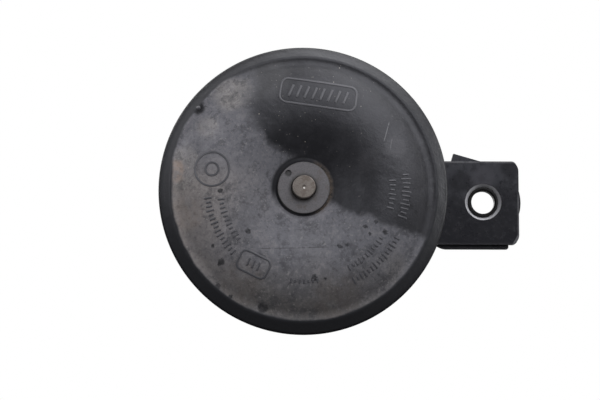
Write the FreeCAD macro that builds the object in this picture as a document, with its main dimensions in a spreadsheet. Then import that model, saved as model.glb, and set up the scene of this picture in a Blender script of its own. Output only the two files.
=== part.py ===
import FreeCAD, Part

import math
import os

import Sketcher
from FreeCAD import Placement, Rotation, Vector

# Electromagnetic disc horn of a car, on its laminated steel bracket. A coil pulls an armature towards a
# fixed core, a breaker opens as it moves, and the spring diaphragm throws it back with the tone disc.
# Each piece is drawn round the horn's own axis: x runs out along the bracket, y runs up, and z comes out
# of the front of the tone disc, with z = 0 in the middle of the diaphragm. Every body is then turned so that
# the horn faces -Y with +Z up, and moved so that the origin is the middle of the bracket's bolt hole,
# where the front plate and the rear leaf meet.

SIZES = [
    ("disc_radius", 50.0, "tone disc, outside of the rim"),
    ("disc_crest_share", 0.55, "tone disc, ring where the dome is highest, as a share of the disc's radius"),
    ("disc_curve_share", 0.47, "tone disc, radius of the dome's section, as a share of the disc's radius"),
    ("disc_dome_inset", 7.8, "tone disc, from the rim in to where the dome turns into the gutter"),
    ("disc_ridge_inset", 4.1, "tone disc, from the rim in to the raised ridge"),
    ("disc_seat_room", 1.6, "tone disc, flat seat round the washer"),
    ("disc_clearance", 1.2, "gap between the tone disc's rim and the heads of the flange rivets"),
    ("disc_sheet", 1.2, "tone disc, thickness of the steel"),
    ("disc_funnel_slope", 22.0, "tone disc, slope of the funnel, in degrees"),
    ("disc_gutter_curve", 4.0, "tone disc, radius of the gutter's section"),
    ("disc_ridge_rise", 0.3, "tone disc, height of the ridge above the gutter"),
    ("disc_shoulder_drop", 3.6, "tone disc, depth of the sloping shoulder"),
    ("disc_rim_depth", 1.8, "tone disc, depth of the straight rim"),
    ("disc_seat_bend", 0.8, "tone disc, bend round the seat"),
    ("disc_ridge_bend_share", 1.27, "tone disc, bend of the ridge, as a share of the slope from gutter to ridge"),
    ("disc_rim_bend", 2.4, "tone disc, bend of the rim"),
    ("stud_radius", 4.0, "armature stud"),
    ("stud_proud", 2.9, "armature stud, length in front of the washer"),
    ("stud_bevel", 0.25, "armature stud, bevel at its end"),
    ("centre_pip_radius", 0.45, "armature stud, centre drill mark"),
    ("washer_radius", 9.0, "washer in front of the tone disc"),
    ("washer_sheet", 1.5, "washer in front of the tone disc, thickness"),
    ("washer_mark_radius", 1.15, "washer, punch mark"),
    ("washer_mark_depth", 0.25, "washer, depth of the punch mark"),
    ("washer_mark_left", 5.3, "washer, punch mark left of the middle"),
    ("washer_mark_up", 5.0, "washer, punch mark above the middle"),
    ("collar_outer_radius", 7.0, "collar between the diaphragm and the tone disc"),
    ("fit_gap", 0.05, "clearance round a stud or rivet in its hole"),
    ("diaphragm_sheet", 0.4, "diaphragm, thickness"),
    ("wave_inner_room", 9.0, "diaphragm, from the clamping washers to the pressed wave"),
    ("wave_outer_room", 7.0, "diaphragm, from the pressed wave to the chamber's wall"),
    ("diaphragm_inset", 0.6, "diaphragm and gaskets, from the flange's edge"),
    ("wave_slope_width", 1.6, "diaphragm, width of each slope of the wave"),
    ("wave_height", 0.9, "diaphragm, height of the wave"),
    ("clamp_washer_radius", 12.0, "washers each side of the diaphragm's middle"),
    ("clamp_washer_sheet", 1.0, "washers each side of the diaphragm's middle, thickness"),
    ("pusher_depth", 4.8, "armature, thickness of that flange"),
    ("plunger_radius", 10.0, "armature and fixed core"),
    ("pusher_lip", 4.0, "armature, how far the flange that works the breaker stands out of the plunger"),
    ("plunger_length", 10.0, "armature, length behind the flange"),
    ("air_gap", 0.8, "gap between the armature and the fixed core"),
    ("gasket_sheet", 0.5, "gaskets each side of the diaphragm"),
    ("ring_sheet", 1.5, "clamp ring, thickness"),
    ("flange_width", 9.0, "housing flange, width outside the chamber's wall"),
    ("gasket_inset", 0.6, "gaskets, how far outside the chamber's wall they begin"),
    ("ring_overlap", 0.4, "clamp ring, how far inside the chamber's wall it begins"),
    ("rivet_inset", 3.7, "flange rivets, from the flange's edge"),
    ("rivet_radius", 2.0, "flange rivets, shank"),
    ("rivet_head_radius", 2.9, "flange rivets, head"),
    ("rivet_head_height", 1.0, "flange rivets, height of the head"),
    ("rivet_count", 6, "flange rivets, how many"),
    ("housing_sheet", 1.2, "housing, thickness of the steel"),
    ("chamber_room", 3.4, "housing, room between the breaker and the chamber's wall"),
    ("chamber_depth", 10.6, "housing, depth of the wide chamber"),
    ("coil_cup_depth", 14.8, "housing, depth of the coil cup"),
    ("press_radius", 2.2, "housing, inside radius of the pressed corners"),
    ("outer_bend_radius", 1.0, "housing, outside radius where a wall turns outwards"),
    ("coil_plate_lap", 3.9, "coil plate, how far it laps over the edge of the cup"),
    ("coil_plate_gap", 0.7, "coil plate, gap round the armature"),
    ("coil_ear_offset", 2.2, "coil plate, from its edge out to the rivets"),
    ("coil_plate_sheet", 2.0, "plate that holds the coil in its cup"),
    ("coil_ear_radius", 4.2, "coil plate, rounded end of each ear"),
    ("coil_ear_angle", 20.0, "coil plate, direction of the first ear, in degrees"),
    ("coil_ear_count", 3, "coil plate, how many ears"),
    ("coil_rivet_radius", 1.6, "coil plate rivets, shank"),
    ("coil_rivet_head_radius", 2.9, "coil plate rivets, head"),
    ("coil_rivet_head_height", 1.0, "coil plate rivets, height of the head"),
    ("bobbin_gap", 0.4, "coil bobbin, gap round the armature"),
    ("bobbin_rim", 0.8, "coil bobbin, how far the cheek stands out of the winding"),
    ("bobbin_wall", 1.1, "coil bobbin, thickness of the tube"),
    ("bobbin_cheek", 1.3, "coil bobbin, thickness of each end cheek"),
    ("bobbin_play", 0.4, "coil bobbin, play inside the cup"),
    ("winding_radius", 19.4, "copper winding, outside"),
    ("lead_radius", 0.5, "wires inside the housing"),
    ("lead_bend", 1.0, "wires, radius of their bends"),
    ("lead_hole_radius", 1.0, "coil plate and bobbin, holes for the wires"),
    ("lead_start_depth", 6.0, "coil wires, how far they run down beside the winding"),
    ("terminal_lead_angle", 192.0, "wire to the terminal, direction where it leaves the coil, in degrees"),
    ("breaker_lead_angle", 118.0, "wire to the breaker, direction where it leaves the coil, in degrees"),
    ("terminal_lead_level", 3.9, "wire to the terminal, height above the chamber's floor"),
    ("breaker_lead_level", 2.8, "wire to the breaker, height above the chamber's floor"),
    ("cross_lead_level", 3.9, "wire across the chamber, height above the floor"),
    ("stack_gap", 0.6, "breaker, gap between its insulators and the coil plate"),
    ("stack_length", 7.6, "breaker, length of the insulators away from the axis"),
    ("stack_half_width", 7.0, "breaker, half the width of the insulators"),
    ("leaf_sheet", 0.3, "breaker leaf spring, thickness"),
    ("leaf_half_width", 3.0, "breaker leaf spring, half its width"),
    ("leaf_free_length", 2.6, "breaker leaf spring, the part that bends"),
    ("leaf_lap", 7.4, "breaker leaf spring, how far it laps behind the moving arm"),
    ("arm_room", 1.4, "breaker moving arm, gap beside the armature's plunger"),
    ("fixed_arm_gap", 2.2, "breaker fixed arm, gap beside the armature's flange"),
    ("point_inset", 3.4, "contact points, from the end of the fixed arm"),
    ("arm_sheet", 1.0, "breaker contact arms, thickness"),
    ("arm_half_width", 3.5, "breaker contact arms, half their width"),
    ("arm_play", 0.1, "gap between the armature's flange and the moving arm"),
    ("point_radius", 2.0, "contact points"),
    ("point_height", 0.7, "contact points, height of each"),
    ("top_insulator_sheet", 0.8, "breaker top insulator, thickness"),
    ("clamp_plate_sheet", 0.8, "breaker clamp plate, thickness"),
    ("breaker_rivet_radius", 1.25, "breaker rivets, shank"),
    ("breaker_rivet_head", 2.1, "breaker rivets, radius of the head"),
    ("breaker_rivet_rise", 0.6, "breaker rivets, height of the head"),
    ("breaker_rivet_offset", 4.2, "breaker rivets, distance each side of the middle"),
    ("breaker_live_gap", 0.7, "clearance of live sheets round the breaker rivets"),
    ("leaf_tag_length", 3.2, "breaker leaf spring, length of its solder tag"),
    ("arm_tag_length", 5.4, "breaker fixed arm, length of its solder tag"),
    ("tag_wire_inset", 1.2, "breaker solder tags, from the tip to the wire"),
    ("tag_half_width", 1.5, "breaker solder tags, half their width"),
    ("wing_border", 3.2, "breaker fixed arm, border of the wing round the adjusting screw"),
    ("screw_beside", 5.0, "adjusting screw, distance beside the insulators"),
    ("screw_inset", 1.4, "adjusting screw, from the near side of the insulators"),
    ("screw_radius", 2.5, "adjusting screw, shank of 5 mm"),
    ("screw_tip_radius", 2.2, "adjusting screw, insulating tip"),
    ("screw_tip_length", 1.6, "adjusting screw, thickness of the insulating tip"),
    ("screw_head_radius", 4.0, "adjusting screw, head"),
    ("screw_head_height", 3.4, "adjusting screw, height of the head"),
    ("screw_slot_width", 1.2, "adjusting screw, slot for a screwdriver"),
    ("screw_slot_depth", 1.6, "adjusting screw, depth of the slot"),
    ("screw_room", 1.6, "adjusting screw, bare shank under its head"),
    ("lock_nut_flats", 8.0, "lock nut of the adjusting screw, across the flats"),
    ("lock_nut_height", 3.2, "lock nut of the adjusting screw, height"),
    ("bush_neck_radius", 3.4, "bush of the adjusting screw, neck in the housing"),
    ("bush_radius", 4.2, "bush of the adjusting screw, outside"),
    ("bush_height", 3.0, "bush of the adjusting screw, height in the chamber"),
    ("terminal_gap", 4.0, "terminals, from the coil plate's edge to their rivets"),
    ("carrier_near_border", 4.0, "terminal carrier, from the rivets in to its near side"),
    ("carrier_far_border", 7.0, "terminal carrier, from the rivets out to its far side"),
    ("carrier_side_border", 4.6, "terminal carrier, from the rivets to its ends"),
    ("carrier_rib_inset", 1.0, "terminal carrier, from its sides to the rib between the blades"),
    ("carrier_sheet", 3.4, "terminal carrier, thickness"),
    ("carrier_corner", 1.6, "terminal carrier, radius of its corners"),
    ("carrier_rib_half_width", 0.9, "terminal carrier, half the thickness of the rib between the blades"),
    ("carrier_rib_height", 6.0, "terminal carrier, height of that rib"),
    ("carrier_neck_radius", 2.5, "terminal carrier, necks that pass through the housing"),
    ("inner_insulator_sheet", 1.5, "terminal insulator inside the housing, thickness"),
    ("insulator_border", 3.4, "terminal insulator inside the housing, border round the rivets"),
    ("terminal_offset", 6.4, "terminals, distance each side of the middle"),
    ("terminal_rivet_radius", 1.5, "terminal rivets, shank"),
    ("terminal_rivet_head", 2.5, "terminal rivets, radius of the head"),
    ("terminal_rivet_rise", 0.8, "terminal rivets, height of the head"),
    ("blade_sheet", 0.8, "blade terminals, thickness"),
    ("blade_half_width", 3.15, "blade terminals, half the standard width of 6.3 mm"),
    ("blade_height", 9.5, "blade terminals, height above the carrier"),
    ("blade_offset", 5.6, "blade terminals, from the rivet to the blade's outer face"),
    ("foot_border", 0.4, "blade terminals, border of the foot round the rivet's head"),
    ("blade_bevel", 1.2, "blade terminals, bevelled corners of the tip"),
    ("blade_hole_radius", 0.8, "blade terminals, catch hole"),
    ("blade_hole_drop", 4.4, "blade terminals, catch hole below the tip"),
    ("bracket_reach", 66.1, "bracket, distance of the bolt hole from the horn's axis"),
    ("front_plate_sheet", 2.0, "bracket front plate, thickness"),
    ("front_plate_half_width", 15.2, "bracket front plate, half its width"),
    ("front_plate_drop", 0.35, "bracket front plate, its middle below the bolt hole"),
    ("front_plate_end", 12.95, "bracket front plate, length past the bolt hole"),
    ("corner_cut_along", 1.5, "bracket front plate, cut corner along the plate"),
    ("corner_cut_across", 2.6, "bracket front plate, cut corner across the plate"),
    ("corner_soften", 2.4, "bracket front plate, rounding of the cut corners"),
    ("rear_leaf_sheet", 1.5, "bracket rear leaf, thickness"),
    ("rear_leaf_drop", 17.05, "bracket rear leaf, lower edge below the bolt hole"),
    ("rear_leaf_rise", 13.4, "bracket rear leaf, upper edge above the bolt hole"),
    ("rear_leaf_neck", 12.0, "bracket rear leaf, half its width at the horn"),
    ("rear_leaf_end", 9.2, "bracket rear leaf, length past the bolt hole"),
    ("rear_leaf_wide", 13.9, "bracket rear leaf, length of the wide part before the bolt hole"),
    ("rear_leaf_taper", 10.0, "bracket rear leaf, length of the taper to the neck"),
    ("rear_leaf_slope", 3.0, "bracket rear leaf, length of the slope on its upper edge"),
    ("end_plate_sheet", 2.0, "bracket end plate, thickness"),
    ("end_plate_radius", 14.6, "bracket end plate, rounded end and half its width"),
    ("end_plate_end", 14.0, "bracket end plate, length past the bolt hole"),
    ("end_plate_tail", 15.0, "bracket end plate, length before the bolt hole"),
    ("end_plate_turn", 16.0, "bracket end plate, angle that it is turned, in degrees"),
    ("bolt_hole_radius", 4.2, "bolt hole for an M8 bolt"),
    ("eyelet_wall", 1.0, "hollow rivet of the bolt hole, wall"),
    ("eyelet_sink", 0.5, "hollow rivet, ends below the faces of the plates"),
    ("eyelet_flare", 0.8, "hollow rivet, how far its ends are flared"),
    ("eyelet_mouth", 0.5, "hollow rivet, bevel of its mouths"),
    ("rear_stud_radius", 4.0, "stud of 8 mm behind the housing"),
    ("plain_washer_radius", 8.5, "plain washer on the bracket"),
    ("plain_washer_sheet", 1.6, "plain washer on the bracket, thickness"),
    ("spring_washer_radius", 7.2, "spring washer on the bracket"),
    ("spring_washer_sheet", 2.0, "spring washer on the bracket, thickness"),
    ("spring_washer_slit", 1.0, "spring washer, width of the split"),
    ("nut_flats", 13.0, "bracket nut, across the flats"),
    ("nut_height", 6.5, "bracket nut, height"),
    ("stud_end_length", 2.0, "stud past the bracket nut"),
]


class Size:
    """A length with its value and its formula in the size sheet."""

    def __init__(self, value, formula):
        self.value = float(value)
        self.formula = formula

    def __add__(self, other):
        other = size_of(other)
        return Size(self.value + other.value, f"({self.formula} + {other.formula})")

    def __sub__(self, other):
        other = size_of(other)
        return Size(self.value - other.value, f"({self.formula} - {other.formula})")

    def __mul__(self, other):
        other = size_of(other)
        return Size(self.value * other.value, f"({self.formula} * {other.formula})")

    def __truediv__(self, other):
        other = size_of(other)
        return Size(self.value / other.value, f"({self.formula} / {other.formula})")

    def __neg__(self):
        return Size(-self.value, f"(0 - {self.formula})")

    def __radd__(self, other):
        return size_of(other) + self

    def __rsub__(self, other):
        return size_of(other) - self

    def __rmul__(self, other):
        return size_of(other) * self


def size_of(number):
    return number if isinstance(number, Size) else Size(number, repr(float(number)))


def root(size):
    return Size(math.sqrt(size.value), f"sqrt({size.formula})")


def sine(angle):
    return Size(math.sin(math.radians(angle.value)), f"sin({angle.formula})")


def cosine(angle):
    return Size(math.cos(math.radians(angle.value)), f"cos({angle.formula})")


def heading(run, rise):
    """Direction in degrees of a step that goes run across and rise up."""
    angle = math.degrees(math.atan2(rise.value, run.value))
    return Size(angle, f"atan2({rise.formula}; {run.formula})")


doc = FreeCAD.newDocument("disc_horn")
sheet = doc.addObject("Spreadsheet::Sheet", "Sizes")
size = {}
for row, (alias, value, meaning) in enumerate(SIZES, start=1):
    sheet.set(f"A{row}", meaning)
    sheet.set(f"B{row}", str(value))
    sheet.setAlias(f"B{row}", alias)
    size[alias] = Size(value, f"Sizes.{alias}")
doc.recompute()

# Distances from the axis, worked outwards from the armature, the winding and the breaker
pusher_radius = size["plunger_radius"] + size["pusher_lip"]
bobbin_bore = size["plunger_radius"] + size["bobbin_gap"]
rear_cheek_radius = size["winding_radius"] + size["bobbin_rim"]
coil_cup_radius = rear_cheek_radius + size["press_radius"] + 0.1
front_cheek_radius = coil_cup_radius - size["bobbin_play"]
coil_plate_radius = coil_cup_radius + size["coil_plate_lap"]
coil_plate_bore = size["plunger_radius"] + size["coil_plate_gap"]
coil_ear_reach = coil_plate_radius + size["coil_ear_offset"]
stack_near = coil_plate_radius + size["stack_gap"]
stack_far = stack_near + size["stack_length"]
chamber_radius = stack_far + size["chamber_room"]
flange_radius = chamber_radius + size["flange_width"]
rivet_circle_radius = flange_radius - size["rivet_inset"]
diaphragm_radius = flange_radius - size["diaphragm_inset"]
gasket_inner_radius = chamber_radius + size["gasket_inset"]
ring_inner_radius = chamber_radius - size["ring_overlap"]
wave_inner_radius = size["clamp_washer_radius"] + size["wave_inner_room"]
wave_outer_radius = chamber_radius - size["wave_outer_room"]
arm_far = stack_near - size["leaf_free_length"]
arm_near = size["plunger_radius"] + size["arm_room"]
leaf_near = arm_far - size["leaf_lap"]
fixed_arm_near = pusher_radius + size["fixed_arm_gap"]
point_reach = fixed_arm_near + size["point_inset"]
screw_across = size["stack_half_width"] + size["screw_beside"]
screw_up = stack_near + size["screw_inset"]
terminal_reach = coil_plate_radius + size["terminal_gap"]
blade_reach = terminal_reach + size["blade_offset"]

# Heights along the horn's axis, from the middle of the diaphragm
half_diaphragm = size["diaphragm_sheet"] / 2
front_gasket_top = half_diaphragm + size["gasket_sheet"]
ring_front = front_gasket_top + size["ring_sheet"]
flange_front = -front_gasket_top
flange_back = flange_front - size["housing_sheet"]
chamber_floor = flange_front - size["chamber_depth"]
chamber_back = chamber_floor - size["housing_sheet"]
coil_plate_front = chamber_floor + size["coil_plate_sheet"]
cup_floor = chamber_floor - size["coil_cup_depth"]
cup_back = cup_floor - size["housing_sheet"]
rim_back = ring_front + size["rivet_head_height"] + size["disc_clearance"]
shoulder_height = rim_back + size["disc_rim_depth"]
ridge_height = shoulder_height + size["disc_shoulder_drop"]
gutter_height = ridge_height - size["disc_ridge_rise"]
crest_radius = size["disc_radius"] * size["disc_crest_share"]
dome_curve = size["disc_radius"] * size["disc_curve_share"]
dome_end = size["disc_radius"] - size["disc_dome_inset"]
dome_lean = (dome_end - crest_radius) / dome_curve
dome_fall = root(1 - dome_lean * dome_lean)
gutter_end = dome_end + size["disc_gutter_curve"] * dome_lean
dome_end_height = gutter_height + size["disc_gutter_curve"] * (1 - dome_fall)
dome_foot = dome_end_height - dome_curve * dome_fall
funnel_end = crest_radius - dome_curve * sine(size["disc_funnel_slope"])
funnel_height = dome_foot + dome_curve * cosine(size["disc_funnel_slope"])
seat_radius = size["washer_radius"] + size["disc_seat_room"]
funnel_fall = (funnel_end - seat_radius) * sine(size["disc_funnel_slope"]) / cosine(size["disc_funnel_slope"])
disc_seat = funnel_height - funnel_fall
disc_seat_back = disc_seat - size["disc_sheet"]
washer_front = disc_seat + size["washer_sheet"]
stud_end = washer_front + size["stud_proud"]
pusher_front = -half_diaphragm - size["clamp_washer_sheet"]
pusher_back = pusher_front - size["pusher_depth"]
plunger_back = pusher_back - size["plunger_length"]
core_front = plunger_back - size["air_gap"]
arm_front = pusher_back - size["arm_play"]
arm_back = arm_front - size["arm_sheet"]
leaf_back = arm_back - size["leaf_sheet"]
contact_level = arm_front + size["point_height"]
fixed_arm_back = contact_level + size["point_height"]
fixed_arm_front = fixed_arm_back + size["arm_sheet"]
top_insulator_front = fixed_arm_front + size["top_insulator_sheet"]
clamp_plate_front = top_insulator_front + size["clamp_plate_sheet"]
front_plate_back = cup_back - size["front_plate_sheet"]
rear_leaf_back = front_plate_back - size["rear_leaf_sheet"]
end_plate_back = rear_leaf_back - size["end_plate_sheet"]
plain_washer_back = rear_leaf_back - size["plain_washer_sheet"]
spring_washer_back = plain_washer_back - size["spring_washer_sheet"]
nut_back = spring_washer_back - size["nut_height"]
rear_stud_end = nut_back - size["stud_end_length"]
carrier_back = chamber_back - size["carrier_sheet"]
inner_insulator_front = chamber_floor + size["inner_insulator_sheet"]
lock_nut_back = chamber_back - size["lock_nut_height"]
screw_head_front = lock_nut_back - size["screw_room"]
screw_end = fixed_arm_back - size["screw_tip_length"]

# Radii of the holes, and places that several pieces share
stud_hole = size["stud_radius"] + size["fit_gap"]
rear_stud_hole = size["rear_stud_radius"] + size["fit_gap"]
rivet_hole = size["rivet_radius"] + size["fit_gap"]
coil_rivet_hole = size["coil_rivet_radius"] + size["fit_gap"]
breaker_rivet_hole = size["breaker_rivet_radius"] + size["fit_gap"]
live_rivet_hole = size["breaker_rivet_radius"] + size["breaker_live_gap"]
terminal_rivet_hole = size["terminal_rivet_radius"] + size["fit_gap"]
neck_hole = size["carrier_neck_radius"] + size["fit_gap"]
bush_hole = size["bush_neck_radius"] + size["fit_gap"]
screw_hole = size["screw_radius"] + size["fit_gap"]
eyelet_radius = size["bolt_hole_radius"] + size["eyelet_wall"]
eyelet_hole = eyelet_radius + size["fit_gap"]
stack_middle = (stack_near + stack_far) / 2
tag_inset = size["tag_half_width"] + 0.2
leaf_tag_up = stack_near + tag_inset
arm_tag_up = stack_far - tag_inset
leaf_wire_across = size["tag_wire_inset"] - size["stack_half_width"] - size["leaf_tag_length"]
arm_wire_across = size["tag_wire_inset"] - size["stack_half_width"] - size["arm_tag_length"]
lead_reach = size["winding_radius"] + size["lead_radius"]
lead_start = chamber_floor - size["lead_start_depth"]
terminal_lead_spot = (
    lead_reach * cosine(size["terminal_lead_angle"]),
    lead_reach * sine(size["terminal_lead_angle"]),
)
breaker_lead_spot = (
    lead_reach * cosine(size["breaker_lead_angle"]),
    lead_reach * sine(size["breaker_lead_angle"]),
)


def finish(feature):
    """Works the feature out, and stops if it did not come out."""
    doc.recompute()
    if "Touched" in feature.State or "Invalid" in feature.State:
        raise RuntimeError(f"{feature.Label}: {feature.getStatusString()}")
    return feature


def new_body(label):
    """An empty body, turned and moved into the frame of the part."""
    body = doc.addObject("PartDesign::Body", label)
    body.Label = label
    body.AllowCompound = True
    place(body)
    return body


def place(thing):
    thing.Placement = Placement(Vector(0, 0, 0), Rotation(Vector(1, 0, 0), 90))
    thing.setExpression("Placement.Base.x", (-size["bracket_reach"]).formula)
    thing.setExpression("Placement.Base.y", front_plate_back.formula)


def origin_plane(body, role):
    return next(feature for feature in body.Origin.OriginFeatures if feature.Role == role)


def new_sketch(body, role="XY_Plane", across=None, up=None, lift=None, turn=None, swing=None):
    """A sketch on one of the body's own planes, moved along its own x, y and normal.

    It can be turned in its plane, or swung round its upright axis.
    """
    sketch = body.newObject("Sketcher::SketchObject", body.Label + "_sketch")
    sketch.AttachmentSupport = [(origin_plane(body, role), "")]
    sketch.MapMode = "FlatFace"
    for letter, amount in (("x", across), ("y", up), ("z", lift)):
        if amount is not None:
            sketch.setExpression(f"AttachmentOffset.Base.{letter}", size_of(amount).formula)
    for angle, axis in ((turn, Vector(0, 0, 1)), (swing, Vector(0, 1, 0))):
        if angle is not None:
            sketch.AttachmentOffset = Placement(Vector(0, 0, 0), Rotation(axis, angle.value))
            sketch.setExpression("AttachmentOffset.Rotation.Angle", angle.formula)
    return sketch


def constrain(sketch, kind, *parts):
    """Adds a dimension whose last part is a size, bound to the size sheet."""
    amount = size_of(parts[-1])
    number = sketch.addConstraint(Sketcher.Constraint(kind, *parts[:-1], amount.value))
    sketch.setExpression(f"Constraints[{number}]", amount.formula)


def pin_point(sketch, geometry, point, x, y):
    constrain(sketch, "DistanceX", -1, 1, geometry, point, x)
    constrain(sketch, "DistanceY", -1, 1, geometry, point, y)


def arc_between(start, end, radius):
    """An arc from start to end. A positive radius turns left along the way, and a negative one turns right."""
    middle = (start + end) * 0.5
    chord = end - start
    height = math.sqrt(max(radius * radius - chord.Length**2 / 4, 0.0))
    left = Vector(-chord.y, chord.x, 0).normalize()
    centre = middle + left * (height if radius > 0 else -height)
    first, last = (start, end) if radius > 0 else (end, start)
    angles = [math.atan2(p.y - centre.y, p.x - centre.x) for p in (first, last)]
    return Part.ArcOfCircle(Part.Circle(centre, Vector(0, 0, 1), abs(radius)), *angles)


def outline(sketch, corners):
    """A closed outline. Each corner is (x, y), or (x, y, radius) where the edge that leaves it is an arc."""
    spots = [Vector(size_of(c[0]).value, size_of(c[1]).value, 0) for c in corners]
    ends = []
    for number, corner in enumerate(corners):
        start, end = spots[number], spots[(number + 1) % len(spots)]
        if len(corner) == 2:
            edge = sketch.addGeometry(Part.LineSegment(start, end))
            ends.append((edge, 1, 2))
            continue
        radius = size_of(corner[2])
        edge = sketch.addGeometry(arc_between(start, end, radius.value))
        ends.append((edge, 1, 2) if radius.value > 0 else (edge, 2, 1))
    for number, (edge, first, last) in enumerate(ends):
        next_edge, next_first, _ = ends[(number + 1) % len(ends)]
        sketch.addConstraint(Sketcher.Constraint("Coincident", edge, last, next_edge, next_first))
    for corner, (edge, first, _) in zip(corners, ends):
        pin_point(sketch, edge, first, corner[0], corner[1])
    for number, (edge, _, _) in enumerate(ends):
        if len(corners[number]) == 3:
            shape_arc(sketch, edge, corners[number], corners[(number + 1) % len(corners)])


def shape_arc(sketch, edge, corner, following):
    """Fixes the radius of an arc, or the middle of one that is a whole half circle."""
    radius = size_of(corner[2])
    radius = radius if radius.value > 0 else -radius
    run, rise = size_of(following[0]) - corner[0], size_of(following[1]) - corner[1]
    if math.hypot(run.value, rise.value) < 1.999 * radius.value:
        constrain(sketch, "Radius", edge, radius)
    elif abs(run.value) < abs(rise.value):
        constrain(sketch, "DistanceX", -1, 1, edge, 3, corner[0])
    else:
        constrain(sketch, "DistanceY", -1, 1, edge, 3, corner[1])


def circle(sketch, x, y, radius):
    centre = Vector(size_of(x).value, size_of(y).value, 0)
    edge = sketch.addGeometry(Part.Circle(centre, Vector(0, 0, 1), size_of(radius).value))
    pin_point(sketch, edge, 3, x, y)
    constrain(sketch, "Radius", edge, radius)


def revolve(body, corners, across=None, up=None, cut=False):
    """Turns a section (radius, height) round the body's axis, or round a line beside it."""
    sketch = new_sketch(body, "XZ_Plane", across=across, lift=None if up is None else -size_of(up))
    outline(sketch, corners)
    feature = body.newObject("PartDesign::Groove" if cut else "PartDesign::Revolution", body.Label + "_turned")
    feature.Profile = sketch
    feature.ReferenceAxis = (sketch, ["V_Axis"])
    feature.Angle = 360
    return finish(feature)


def pad(body, sketch, length):
    feature = body.newObject("PartDesign::Pad", body.Label + "_pad")
    feature.Profile = sketch
    feature.setExpression("Length", size_of(length).formula)
    return finish(feature)


def pocket(body, sketch, length, upwards=False):
    """Cuts back from the sketch by length, or forwards from it."""
    before = body.Shape.Volume
    feature = body.newObject("PartDesign::Pocket", body.Label + "_pocket")
    feature.Profile = sketch
    feature.setExpression("Length", size_of(length).formula)
    feature.Reversed = upwards
    finish(feature)
    if body.Shape.Volume > before - 1e-6:
        raise RuntimeError(f"{body.Label}: a pocket cut nothing")
    return feature


def circular_pattern(body, feature, count):
    pattern = body.newObject("PartDesign::PolarPattern", body.Label + "_pattern")
    pattern.Originals = [feature]
    pattern.Axis = (origin_plane(body, "Z_Axis"), [""])
    pattern.Angle = 360
    pattern.setExpression("Occurrences", size_of(count).formula)
    body.Tip = pattern
    return finish(pattern)


def mirrored(body, features, role):
    mirror = body.newObject("PartDesign::Mirrored", body.Label + "_mirror")
    mirror.Originals = features
    mirror.MirrorPlane = (origin_plane(body, role), [""])
    body.Tip = mirror
    return finish(mirror)


def rings_at(body, spots):
    """Names of the round edges at the given radii and heights."""
    names = []
    for radius, height in spots:
        radius, height = size_of(radius).value, size_of(height).value
        for number, edge in enumerate(body.Tip.Shape.Edges, start=1):
            curve = edge.Curve
            if curve.TypeId != "Part::GeomCircle" or abs(curve.Radius - radius) > 0.01:
                continue
            if abs(edge.Vertexes[0].Point.z - height) < 0.01:
                names.append(f"Edge{number}")
    return names


def round_rings(body, spots, radius):
    """Rounds the ring-shaped edges at the given radii and heights."""
    tip = body.Tip
    names = rings_at(body, spots)
    if len(names) < len(spots):
        raise RuntimeError(f"{body.Label}: only {len(names)} of {len(spots)} ring edges found")
    feature = body.newObject("PartDesign::Fillet", body.Label + "_fillet")
    feature.Base = (tip, names)
    feature.setExpression("Radius", size_of(radius).formula)
    return finish(feature)


def bevel_rings(body, spots, width):
    tip = body.Tip
    names = rings_at(body, spots)
    feature = body.newObject("PartDesign::Chamfer", body.Label + "_chamfer")
    feature.Base = (tip, names)
    feature.setExpression("Size", size_of(width).formula)
    return finish(feature)


def round_uprights(body, spots, radius):
    """Rounds the upright edges that stand at the given x and y."""
    tip = body.Tip
    names = []
    for x, y in spots:
        spot = Vector(size_of(x).value, size_of(y).value, 0)
        for number, edge in enumerate(tip.Shape.Edges, start=1):
            first, last = edge.Vertexes[0].Point, edge.Vertexes[-1].Point
            upright = Vector(first.x - last.x, first.y - last.y, 0).Length < 1e-4 and abs(first.z - last.z) > 1e-4
            if upright and Vector(first.x - spot.x, first.y - spot.y, 0).Length < 0.01:
                names.append(f"Edge{number}")
    feature = body.newObject("PartDesign::Fillet", body.Label + "_fillet")
    feature.Base = (tip, names)
    feature.setExpression("Radius", size_of(radius).formula)
    return finish(feature)


def ring(label, inner, outer, back, front):
    """A flat ring round the horn's axis."""
    body = new_body(label)
    revolve(body, [(inner, back), (outer, back), (outer, front), (inner, front)])
    return body


def plate(label, corners, back, thickness, holes=()):
    """A flat plate, drawn in outline and padded forwards from its back."""
    body = new_body(label)
    sketch = new_sketch(body, lift=back)
    outline(sketch, corners)
    for hole in holes:
        circle(sketch, *hole)
    pad(body, sketch, thickness)
    return body


def rectangle(left, right, bottom, top):
    return [(left, bottom), (right, bottom), (right, top), (left, top)]


def rivet_section(shank, head, rise, back, front):
    """Section of a rivet whose two heads are low cones with rounded faces."""
    edge = rise * 0.35
    crown = head * 0.55
    return [
        (0, back - rise),
        (crown, back - rise),
        (head, back - edge),
        (head, back),
        (shank, back),
        (shank, front),
        (head, front),
        (head, front + edge),
        (crown, front + rise),
        (0, front + rise),
    ]


def hexagon(flats, x=0.0, y=0.0):
    """Corners of a hexagon round a point, with a corner on each side of it."""
    corner = flats / math.sqrt(3)
    half = corner / 2
    rise = flats / 2
    return [
        (x + corner, y),
        (x + half, y + rise),
        (x - half, y + rise),
        (x - corner, y),
        (x - half, y - rise),
        (x + half, y - rise),
    ]


def trim_hexagon(body, flats, back, front, across=None, up=None, ends=("back", "front")):
    """Bevels the corners of a hexagon by turning a small wedge off each end."""
    inner = flats * 0.485
    outer = flats * 0.6
    depth = (outer - inner) * 0.55
    if "back" in ends:
        revolve(body, [(inner, back), (outer, back + depth), (outer, back)][::-1], across, up, cut=True)
    if "front" in ends:
        revolve(body, [(inner, front), (outer, front), (outer, front - depth)], across, up, cut=True)


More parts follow.
